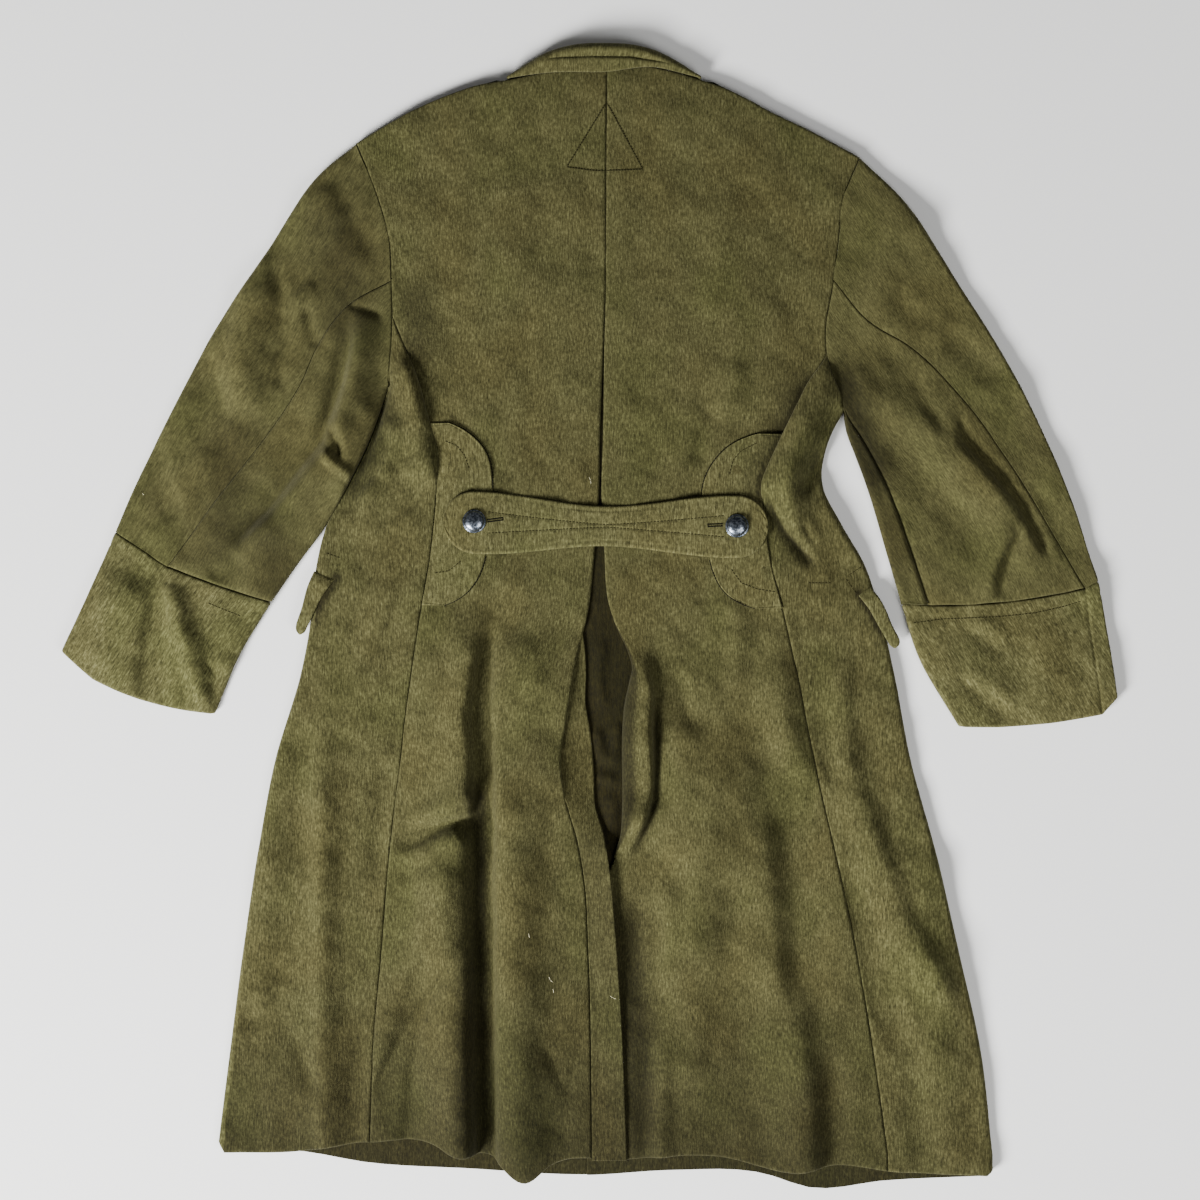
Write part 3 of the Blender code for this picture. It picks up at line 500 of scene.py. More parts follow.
@dataclass
class Shell:
    """A closed wall of cloth on a grid of points, empty where a point isn't a number.

    warp is the turn of its threads from the coat's length, in degrees. inside is painted shade:
    1 where the inner side of the cloth faces up, and its share where shade falls in a fold. grooves are sunk
    into the outer face.
    """

    grid: Array
    thickness: float = CLOTH
    rim: Rim = SEWN_EDGE
    ring: bool = False
    grooves: Array | None = None
    warp: float = 0.0
    inside: Array | None = None

    def neighbours(self, axis: int) -> tuple[Array, Array, Array]:
        """The points behind and ahead of each one, or itself at an open end.

        Args:
            axis: 1 along the rows, 0 along the columns.

        Returns:
            The points behind, the points ahead, and where one of the two is missing.
        """
        grid, closed = self.grid, self.ring and axis == 1
        found, missing = [], np.zeros(grid.shape[:2], bool)
        for step in (1, -1):
            other = np.roll(grid, step, axis)
            if not closed:
                np.moveaxis(other, axis, 0)[0 if step == 1 else -1] = np.nan
            gone = np.isnan(other[..., 0])
            missing |= gone
            found.append(np.where(gone[..., None], grid, other))
        return found[0], found[1], missing

    def normals(self) -> Array:
        """The outward direction at each point, upright at the open ends so that neighbours part.

        Returns:
            Directions of length 1, the first of them upwards.
        """
        behind, ahead, open_end = self.neighbours(1)
        below, above, _ = self.neighbours(0)
        normal = np.cross(ahead - behind, above - below)
        normal[..., :2] = np.where(open_end[..., None], 0.0, normal[..., :2])
        normal = normal / np.maximum(np.linalg.norm(normal, axis=-1, keepdims=True), 1e-12)
        return -normal if np.nanmean(normal[:4, :4, 2]) < 0 else normal

    def edge_distance(self) -> Array:
        """The distance of each point from the nearest open edge, along the rows and columns.

        Returns:
            The distances, in metres.
        """
        nearest = np.full(self.grid.shape[:2], np.inf)
        for axis in (0,) if self.ring else (0, 1):
            ends = np.minimum(lengths_along(self.grid, axis), lengths_back(self.grid, axis))
            nearest = np.minimum(nearest, ends)
        return nearest

    def build(self, name: str, finish: Material) -> Piece:
        """Makes the closed mesh.

        Args:
            name: the piece's name.
            finish: its material.

        Returns:
            The new piece, with the cloth's own coordinates in the attribute grain, and the painted shade in
            inside.
        """
        there = ~np.isnan(self.grid[..., 0])
        normal = self.normals()
        sink = self.rim.drop(self.edge_distance())
        if self.grooves is not None:
            sink = sink + self.grooves
        outer = self.grid + normal * (self.thickness / 2 - sink)[..., None]
        inner = self.grid - normal * self.thickness / 2
        number = np.full(there.shape, -1)
        number[there] = np.arange(there.sum())
        count = int(there.sum())
        corner = self.corners(number)
        faces = np.concatenate([corner, corner[:, ::-1] + count, self.open_edges(corner)])
        faces[len(corner) * 2 :, 2:] += count
        points = np.concatenate([outer[there], inner[there]])
        mesh = smooth_mesh(name, points, faces.tolist())
        start = np.random.default_rng(sum(map(ord, name))).uniform(0, 5, 3)
        values = (self.thread_places(normal)[there] + start).astype(np.float32)
        values = np.concatenate([values, values]).ravel()
        mesh.attributes.new("grain", "FLOAT_VECTOR", "POINT").data.foreach_set("vector", values)
        # painted shade, stored for the material to darken the colour by
        inside = np.zeros(there.shape) if self.inside is None else self.inside
        values = np.concatenate([inside[there], inside[there]]).astype(np.float32)
        mesh.attributes.new("inside", "FLOAT", "POINT").data.foreach_set("value", values)
        return link(name, mesh, finish)

    def thread_places(self, normal: Array) -> Array:
        """Places along the cloth's own threads, which run on over a fold without being stretched.

        Args:
            normal: the outward direction at each point.

        Returns:
            Places across and along the warp, and 0.
        """
        turn = math.radians(self.warp)
        flat = self.grid * np.array([1.0, 1.0, 0.0])
        across = flat[..., 0] * math.cos(turn) + flat[..., 1] * math.sin(turn)
        along = flat[..., 1] * math.cos(turn) - flat[..., 0] * math.sin(turn)
        upper = normal[..., 2] > 0.5
        found = []
        for places, axis in ((across, 1), (along, 0)):
            heading = np.sign(np.nansum(np.gradient(places, axis=axis)[upper]))
            longer = lengths_along(self.grid, axis) - lengths_along(flat, axis)
            found.append(places + heading * evened(longer, 1 - axis))
        return np.stack([*found, np.zeros(across.shape)], axis=-1)

    def corners(self, number: Array) -> Array:
        """The four points of each face on the outer side.

        Args:
            number: the number of each point on the grid, or -1 where it is empty.

        Returns:
            The faces, as four numbers each.
        """
        ahead = np.roll(number, -1, 1) if self.ring else number[:, 1:]
        here = number if self.ring else number[:, :-1]
        faces = np.stack([here[:-1], ahead[:-1], ahead[1:], here[1:]], axis=-1).reshape(-1, 4)
        return faces[(faces >= 0).all(axis=1)]

    @staticmethod
    def open_edges(corner: Array) -> Array:
        """The edges that belong to one face alone.

        Args:
            corner: the outer faces.

        Returns:
            Each edge as the four numbers of its rim face, before the inner two are shifted.
        """
        pairs = np.concatenate([corner[:, [i, (i + 1) % 4]] for i in range(4)])
        key = np.sort(pairs, axis=1)
        _, first, times = np.unique(key, axis=0, return_index=True, return_counts=True)
        rim = pairs[first[times == 1]]
        return np.column_stack([rim[:, 1], rim[:, 0], rim[:, 0], rim[:, 1]])


@dataclass(frozen=True)
class Cut:
    """The flat cut of a cloth piece: its width and length in metres, and the share of that box it fills."""

    width: float
    length: float
    share: float = 1.0


def dress(piece: Piece, rests_on: Sequence[str]) -> Piece:
    """Hides the solid that a cloth piece is named after, so that the cloth stands in its place, and reports
    the piece.

    Args:
        piece: the cloth.
        rests_on: the pieces that it lies on; not used.

    Returns:
        The same piece.
    """
    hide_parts(piece.name.removesuffix("_cloth"))
    LOG.info("%s: %d faces", piece.name, len(piece.data.polygons))
    return piece


def linear(code: str) -> tuple[float, float, float, float]:
    """Turns a colour's sRGB hex code to linear light.

    Args:
        code: the code, such as #102030.

    Returns:
        Red, green, blue and 1.
    """
    parts = [int(code[i : i + 2], 16) / 255 for i in (1, 3, 5)]
    red, green, blue = (c / 12.92 if c <= 0.04045 else ((c + 0.055) / 1.055) ** 2.4 for c in parts)
    return red, green, blue, 1.0


def add_node(
    tree: NodeTree,
    kind: str,
    settings: Mapping[str | int, object] | None = None,
    links: Mapping[str | int, Socket] | None = None,
) -> bpy.types.Node:
    """Adds a node with its settings and links.

    Args:
        tree: the material's tree.
        kind: the shader node's type.
        settings: values of its properties, or of its inputs by name or number.
        links: the sockets that feed its inputs.

    Returns:
        The new node.
    """
    node = tree.nodes.new("ShaderNode" + kind)
    for key, value in (settings or {}).items():
        if isinstance(key, str) and hasattr(node, key):
            setattr(node, key, value)
        else:
            node.inputs[key].default_value = value
    for key, socket in (links or {}).items():
        tree.links.new(socket, node.inputs[key])
    return node


def set_ramp(node: bpy.types.Node, stops: Sequence[tuple[float, str]]) -> None:
    """Gives a colour ramp its stops.

    Args:
        node: the ramp.
        stops: places from 0 to 1 with hex colours.
    """
    elements = node.color_ramp.elements
    while len(elements) < len(stops):
        elements.new(1.0)
    for element, (place, code) in zip(elements, stops):
        element.position = place
        element.color = linear(code)


def new_material(name: str, settings: Mapping[str, object]) -> tuple[Material, NodeTree, bpy.types.Node]:
    """Makes a material.

    Args:
        name: its name.
        settings: values of its shader's inputs.

    Returns:
        The material, its node tree and its shader.
    """
    made = bpy.data.materials.new(name)
    made.use_nodes = True
    shader = made.node_tree.nodes["Principled BSDF"]
    for key, value in settings.items():
        shader.inputs[key].default_value = value
    return made, made.node_tree, shader


class Spots(NamedTuple):
    """A pattern in the cloth: its spots' width across the warp and length along it, in millimetres."""

    width: float
    length: float
    detail: float
    roughness: float

    def add(self, tree: NodeTree, grain: Socket) -> Socket:
        """Adds the pattern to a material.

        Args:
            tree: the material's tree.
            grain: the cloth's own coordinates.

        Returns:
            The pattern's strength.
        """
        scale = (1 / (self.width * MM), 1 / (self.length * MM), 1.0)
        at = add_node(tree, "Mapping", {"Scale": scale}, {"Vector": grain}).outputs[0]
        settings = {"Scale": 1.0, "Detail": self.detail, "Roughness": self.roughness}
        return add_node(tree, "TexNoise", settings, {"Vector": at}).outputs[0]


@dataclass(frozen=True)
class MilledWool:
    """Milled wool: woven, felted and brushed, so that short fibres lie along the warp.

    It gives the eye a matt olive with streaks of darker and paler fibre, soft patches of greener and
    browner cloth, and a faint halo of nap at grazing angles. Single fibres are far too fine to show in
    the render, so the streaks are drawn a millimetre wide.
    """

    name: str
    dark: str
    middle: str
    light: str
    green: str = "#F3F8EC"
    brown: str = "#FBF7F1"
    # the tone that painted shade multiplies the colour by
    inside_tone: str = "#959284"
    sheen_tint: str = "#A9A583"
    streaks: Spots = Spots(1.0, 8.5, 3.0, 0.6)
    flecks: Spots = Spots(2.2, 3.52, 3.0, 0.65)
    clouds: Spots = Spots(17.0, 29.75, 3.0, 0.6)
    patches: Spots = Spots(85.0, 127.5, 2.0, 0.5)
    fuzz: Spots = Spots(0.9, 3.0, 3.0, 0.7)
    rumples: Spots = Spots(16.0, 60.0, 2.0, 0.45)
    weights: tuple[float, float, float] = (0.5, 0.40, 0.10)
    tone_stops: tuple[float, float, float] = (0.36, 0.5, 0.66)
    hue_stops: tuple[float, float, float] = (0.34, 0.5, 0.66)
    nap_depth: float = 0.9
    nap_strength: float = 0.5
    rumple_depth: float = 2.6
    rumple_strength: float = 0.6
    roughness: float = 0.92
    gloss: float = 0.15
    sheen: float = 0.18
    sheen_roughness: float = 0.45

    def make(self) -> Material:
        """Makes the material, with its patterns in the cloth's own coordinates.

        Returns:
            The material.
        """
        settings = {
            "Roughness": self.roughness,
            "Specular IOR Level": self.gloss,
            "Sheen Weight": self.sheen,
            "Sheen Roughness": self.sheen_roughness,
            "Sheen Tint": linear(self.sheen_tint),
        }
        made, tree, shader = new_material(self.name, settings)
        grain = add_node(tree, "Attribute", {"attribute_name": "grain"}).outputs["Vector"]
        streaks = self.streaks.add(tree, grain)
        tree.links.new(self.colour(tree, grain, streaks), shader.inputs["Base Color"])
        tree.links.new(self.relief(tree, grain, streaks), shader.inputs["Normal"])
        return made

    def colour(self, tree: NodeTree, grain: Socket, streaks: Socket) -> Socket:
        """Adds the wool's colour.

        Args:
            tree: the material's tree.
            grain: the cloth's own coordinates.
            streaks: the pattern of the fibres.

        Returns:
            The colour, darkened by painted shade where the attribute inside says so.
        """
        first, *others = self.weights
        mixed = add_node(tree, "Math", {"operation": "MULTIPLY", 1: first}, {0: streaks}).outputs[0]
        for spots, weight in zip((self.flecks, self.clouds), others):
            settings = {"operation": "MULTIPLY_ADD", 1: weight}
            mixed = add_node(tree, "Math", settings, {0: spots.add(tree, grain), 2: mixed}).outputs[0]
        tone = add_node(tree, "ValToRGB", links={0: mixed})
        set_ramp(tone, list(zip(self.tone_stops, (self.dark, self.middle, self.light))))
        hue = add_node(tree, "ValToRGB", links={0: self.patches.add(tree, grain)})
        set_ramp(hue, list(zip(self.hue_stops, (self.green, "#FFFFFF", self.brown))))
        settings = {"blend_type": "MULTIPLY", "Fac": 1.0}
        tinted = add_node(tree, "MixRGB", settings, {"Color1": tone.outputs[0], "Color2": hue.outputs[0]})
        # painted shade: the attribute mixes the colour down towards the colour times this tone
        inside = add_node(tree, "Attribute", {"attribute_name": "inside"}).outputs["Fac"]
        settings = {"blend_type": "MULTIPLY", "Color2": linear(self.inside_tone)}
        return add_node(tree, "MixRGB", settings, {"Fac": inside, "Color1": tinted.outputs[0]}).outputs[0]

    def relief(self, tree: NodeTree, grain: Socket, streaks: Socket) -> Socket:
        """Adds the fine relief of the nap and the softest rumples.

        Args:
            tree: the material's tree.
            grain: the cloth's own coordinates.
            streaks: the pattern of the fibres.

        Returns:
            The shader's normal.
        """
        links = {0: streaks, 1: self.fuzz.add(tree, grain)}
        nap = add_node(tree, "Math", {"operation": "ADD"}, links).outputs[0]
        settings = {"Strength": self.rumple_strength, "Distance": self.rumple_depth * MM}
        waves = add_node(tree, "Bump", settings, {"Height": self.rumples.add(tree, grain)}).outputs[0]
        settings = {"Strength": self.nap_strength, "Distance": self.nap_depth * MM}
        return add_node(tree, "Bump", settings, {"Height": nap, "Normal": waves}).outputs[0]


@dataclass(frozen=True)
class GrainedFinish:
    """A colour with a fine grain, for thread, paint and metal, in the piece's own coordinates.

    grain is the grain's width and relief its depth in millimetres, and strength the share that shows.
    worn is the colour of rubbed spots, if it has them, between the two stops.
    """

    name: str
    colour: str
    grain: float
    strength: float
    roughness: float
    relief: float = 0.2
    gloss: float = 0.1
    metallic: float = 0.0
    detail: tuple[float, float] = (2.0, 0.5)
    worn: str = ""
    stops: tuple[float, float] = (0.42, 0.7)

    def make(self) -> Material:
        """Makes the material.

        Returns:
            The material.
        """
        settings = {
            "Base Color": linear(self.colour),
            "Metallic": self.metallic,
            "Roughness": self.roughness,
            "Specular IOR Level": self.gloss,
        }
        made, tree, shader = new_material(self.name, settings)
        at = add_node(tree, "TexCoord").outputs["Object"]
        detail, rough = self.detail
        settings = {"Scale": 1 / (self.grain * MM), "Detail": detail, "Roughness": rough}
        noise = add_node(tree, "TexNoise", settings, {"Vector": at}).outputs[0]
        if self.worn:
            ramp = add_node(tree, "ValToRGB", links={0: noise})
            set_ramp(ramp, list(zip(self.stops, (self.colour, self.worn))))
            tree.links.new(ramp.outputs[0], shader.inputs["Base Color"])
        settings = {"Strength": self.strength, "Distance": self.relief * MM}
        bump = add_node(tree, "Bump", settings, {"Height": noise})
        tree.links.new(bump.outputs[0], shader.inputs["Normal"])
        return made


# Body and collar: a streaky, matt olive
OLIVE_WOOL = MilledWool("Olive milled wool", "#26250F", "#413F23", "#615F3D")
# Sleeves, less brushed: an evener olive with softer rumples
SOFT_WOOL = MilledWool(
    "Olive milled wool with a smooth nap",
    "#2F2E16",
    "#434125",
    "#585634",
    rumples=Spots(22.0, 60.0, 2.0, 0.45),
    rumple_depth=1.8,
)
# Cuffs, belt and flaps, where hands rub: paler, with stronger flecks
RUBBED_WOOL = MilledWool("Olive milled wool, rubbed paler", "#2B2A14", "#4A482A", "#6D6B47")
# The pleat's inner cloth in painted shade: the olive wool darkened to dark brown, with no halo of nap
SHADED_WOOL = MilledWool("Olive milled wool inside the pleat", "#110F03", "#1C1906", "#28240C", sheen=0.0)
# Twisted cotton, new and faded: thin matt lines that are darker than the wool. Laid heavy round the belt
# patches, the new thread is partly their seam and partly a painted shadow line
OLIVE_THREAD = GrainedFinish("Olive cotton thread", "#14130A", 0.5, 0.4, 0.9)
FADED_THREAD = GrainedFinish("Faded olive cotton thread", "#2B2915", 0.5, 0.4, 0.9)
# Loose ends of undyed cotton: pale specks
PALE_THREAD = GrainedFinish("Pale cotton lint", "#C9C3A0", 0.5, 0.4, 0.8)
# Rolled emulsion: an even, matt white
FLOOR_PAINT = GrainedFinish("White painted studio floor", "#F4F4F2", 3.0, 0.05, 0.9)
# Stamped sheet metal, blackened and worn: a dark blue-grey gloss with paler rubbed spots
BUTTON_METAL = GrainedFinish(
    "Blackened stamped button metal",
    "#474F59",
    2.2,
    0.25,
    0.3,
    relief=0.3,
    gloss=0.5,
    metallic=1.0,
    detail=(4.0, 0.6),
    worn="#A6AEB8",
)


class Level(NamedTuple):
    """A level of the skirt and waist: the folded edges and the side-back seams at it."""

    y: float
    left_edge: float
    left_seam: float
    right_seam: float
    right_edge: float


LEVELS = [
    Level(-540, -374, -222, 297, 402),
    Level(-440, -362, -218, 283, 391),
    Level(-340, -349, -210, 266, 369),
    Level(-240, -334, -202, 245, 346),
    Level(-140, -315, -190, 222, 319),
    Level(-60, -291, -180, 206, 304),
    Level(0, -280, -171, 193, 290),
    Level(50, -275, -162, 180, 274),
    Level(90, -264.6, -157, 174, 251),
    Level(130, -243.4, -154, 172, 232),
    Level(165, -226.2, -154, 186, 235),
    Level(200, -212.6, -164, 203, 249),
    Level(230, -203, -172, 217, 262),
    Level(262, -203, -184, 236, 268),
    Level(299, -203, -199, 240, 270),
]


def level_line(column: str) -> Line:
    """One column of the levels as a line."""
    return [(getattr(level, column), level.y) for level in LEVELS]


# Hems of the backs and side strips on top, and of the fronts below
TOP_HEM = [
    (-374, -538), (-296, -537), (-222, -528), (-154, -530), (-135, -540), (-103, -540), (-64, -566),
    (-40, -549), (30, -545), (124, -541), (205, -557), (250, -551), (298, -557), (403, -562),
]
FRONT_HEM = [
    (-374, -538), (-296, -537), (-223, -549), (-122, -555), (-4, -561), (82, -556), (171, -559),
    (219, -574), (295, -567), (403, -562),
]
LEFT_CENTRE = [
    (16.0, 553), (14.8, 400), (14.5, 325), (12.2, 265), (9.2, 185), (7.5, 115), (4, 68), (-4, -2),
    (-14, -41), (-24, -101), (-30, -145), (-25, -185), (-14, -225), (-7, -265), (-3, -335), (1, -550),
]
RIGHT_CENTRE = [
    (16.0, 553), (14.8, 400), (14.5, 325), (13.2, 265), (12.2, 185), (10.5, 115), (13, 68), (22, -2),
    (44, -41), (56, -66), (56, -111), (50, -205), (25, -242), (12, -270), (9, -335), (9, -560),
]
FACING_RIGHT = [
    (-9, -14), (-6.5, -30), (-5, -60), (-5.5, -88), (-1, -114), (3, -160), (4, -190), (12, -217), (20, -265),
    (23, -300), (30, -399), (36, -545),
]


@dataclass(frozen=True)
class SideLines:
    """The lines of one half of the coat, in millimetres."""

    half: Half
    edge: Line
    seam: Line
    armhole: Line
    fork: float
    top: Line
    centre: Line
    front_edge: float
    back: Relief
    strip: Relief
    lip: Line = ()
    roll: Line = ()

    @property
    def armpit(self) -> float:
        """The height of the armpit on the coat, in metres."""
        return self.armhole[-1][1] * MM


LEFT_LINES = SideLines(
    half=Half.LEFT,
    edge=level_line("left_edge"),
    seam=level_line("left_seam"),
    armhole=[(-235, 472), (-216, 423), (-203, 378), (-200, 335), (-199, 299), (-203, 230)],
    fork=299,
    top=[(-235, 472), (-198, 495), (-158, 515), (-111, 531), (-86, 535.5), (-51, 543), (16, 551)],
    centre=LEFT_CENTRE,
    front_edge=80,
    back=Relief(
        folds=[
            fold(((-121, -200), (-103, -530)), -6.0, 18),
            fold(((-152, -265), (-135, -530)), 10.0, 22),
            fold(((-78, -200), (-70, -550)), 9.0, 24),
            fold(((2, 20), (-32, -180)), 5.0, 34),
            fold(((-32, -180), (-20, -540)), 2.8, 30),
        ],
        creases=[
            Crease(((-107, -170), (-106, -260), (-105, -400), (-105, -640)), -34.0, 7, 8),
            Crease(((-131, -228), (-128, -330), (-126, -450), (-125, -660)), 13.0, 10, 28, False),
            Crease(((-94, -110), (-91, -160), (-91, -330), (-90, -480), (-88, -640)), 14.0, 52, 5),
            Crease(((-101, -2), (-98, -60), (-94, -120), (-92, -230)), 6.5, 54, 5),
            Crease(((-104, 12), (-119, -44), (-131, -99), (-126, -140), (-125, -256)), 14.0, 9, 30),
            Crease(((-100, -6), (-106, -54), (-107, -104), (-105, -150), (-104, -262)), -28.0, 7, 10),
            Crease(((-62, 10), (-60, -90), (-58, -190)), 5.0, 36, 26),
            Crease(((-200, -230), (-167, -217), (-136, -206), (-84, -212)), -19.0, 6, 9),
            Crease(((-184, -208), (-140, -186), (-112, -180)), 6.0, 10, 6),
            Crease(((-194, -263), (-176, -254), (-156, -243)), -3.6, 5, 8),
            Crease(((-132, -240), (-167, -314), (-190, -368), (-206, -416), (-220, -476)), 8.0, 12, 24),
            Crease(((-130, -334), (-163, -383), (-190, -425), (-222, -486)), -11.0, 10, 5),
            Crease(((-173, -400), (-180, -470), (-187, -550)), -6.0, 8, 5),
            Crease(((-78, -92), (-68, -68), (-58, -48)), -2.2, 5, 6),
            Crease(((-148, -30), (-168, -80), (-192, -144)), 4.5, 13, 16),
            Crease(((-56, -414), (-40, -446), (-25, -474), (-12, -440), (-4, -412)), -2.2, 5, 5),
            Crease(((-150, 330), (-130, 270), (-138, 210)), -3.5, 18, 16),
            Crease(((-110, 440), (-80, 380), (-85, 310)), 2.6, 26, 22),
            Crease(((-60, 300), (-48, 230), (-62, 160)), -1.9, 14, 18),
        ],
        calm=True,
        # painted shade: in the deep valley, darker towards the hem, and near the armhole
        shades=[
            Crease(((-110, -180), (-109, -260), (-110, -400), (-111, -640)), 1.0, 6, 18, False),
            Crease(((-260, -560), (30, -560)), 0.82, 175, 175, False),
            Crease(((-176, 340), (-172, 290), (-178, 240)), 0.6, 16, 22),
        ],
    ),
    strip=Relief(
        folds=[
            fold(((-180, 240), (-165, 150)), 12.0, 20),
            fold(((-269, -145), (-263, -485)), 5.0, 24),
        ],
        creases=[
            Crease(((-198, 204), (-196, 168), (-208, 142), (-240, 104)), 8.0, 9, 7),
            Crease(((-203, 262), (-207, 225), (-216, 192), (-232, 152), (-262, 92)), -14.0, 6, 9),
            Crease(((-158, 192), (-169, 171), (-190, 148)), -5.0, 9, 9),
            Crease(((-198, 190), (-194, 166), (-198, 142)), -3.0, 9, 9),
            Crease(((-203, 145), (-225, 128), (-252, 100)), -5.4, 8, 9),
            Crease(((-158, 140), (-180, 112), (-214, 86)), -4.2, 7, 6),
            Crease(((-196, 92), (-224, 62), (-240, 40)), -2.6, 6, 6),
            Crease(((-206, 54), (-232, 4), (-246, -20)), -2.4, 5, 6),
            Crease(((-190, 6), (-214, -32), (-236, -62)), -4.5, 6, 7),
            Crease(((-196, 40), (-206, 0), (-228, -40)), 2.9, 7, 6),
            Crease(((-266, -110), (-270, -260), (-270, -400), (-267, -620)), 5.5, 12, 9),
            Crease(((-280, -100), (-289, -180), (-287, -270)), -6.5, 9, 14),
            Crease(((-198, -140), (-209, -210), (-216, -270)), -6.0, 7, 12),
            Crease(((-227, -400), (-233, -480), (-234, -640)), -7.0, 8, 12),
            Crease(((-354, -409), (-326, -401), (-318, -388), (-304, -370)), -5.0, 5, 8),
            Crease(((-344, -376), (-326, -358), (-308, -338)), -4.0, 5, 7),
            Crease(((-316, -392), (-297, -425), (-266, -490)), -4.0, 9, 9),
            Crease(((-312, -190), (-328, -310), (-336, -420)), 4.5, 15, 16),
        ],
        # painted shade: the shadow beside the pocket flap, darker towards the hem, and under the sleeve by
        # the armpit
        shades=[
            Crease(((-256, 38), (-268, 20), (-277, 2), (-284, -12), (-288, -22)), 1.6, 6, 4, False),
            Crease(((-420, -560), (-200, -560)), 0.75, 165, 165, False),
            Crease(((-204, 240), (-212, 196), (-230, 150), (-256, 104)), 0.9, 16, 16),
        ],
    ),
)

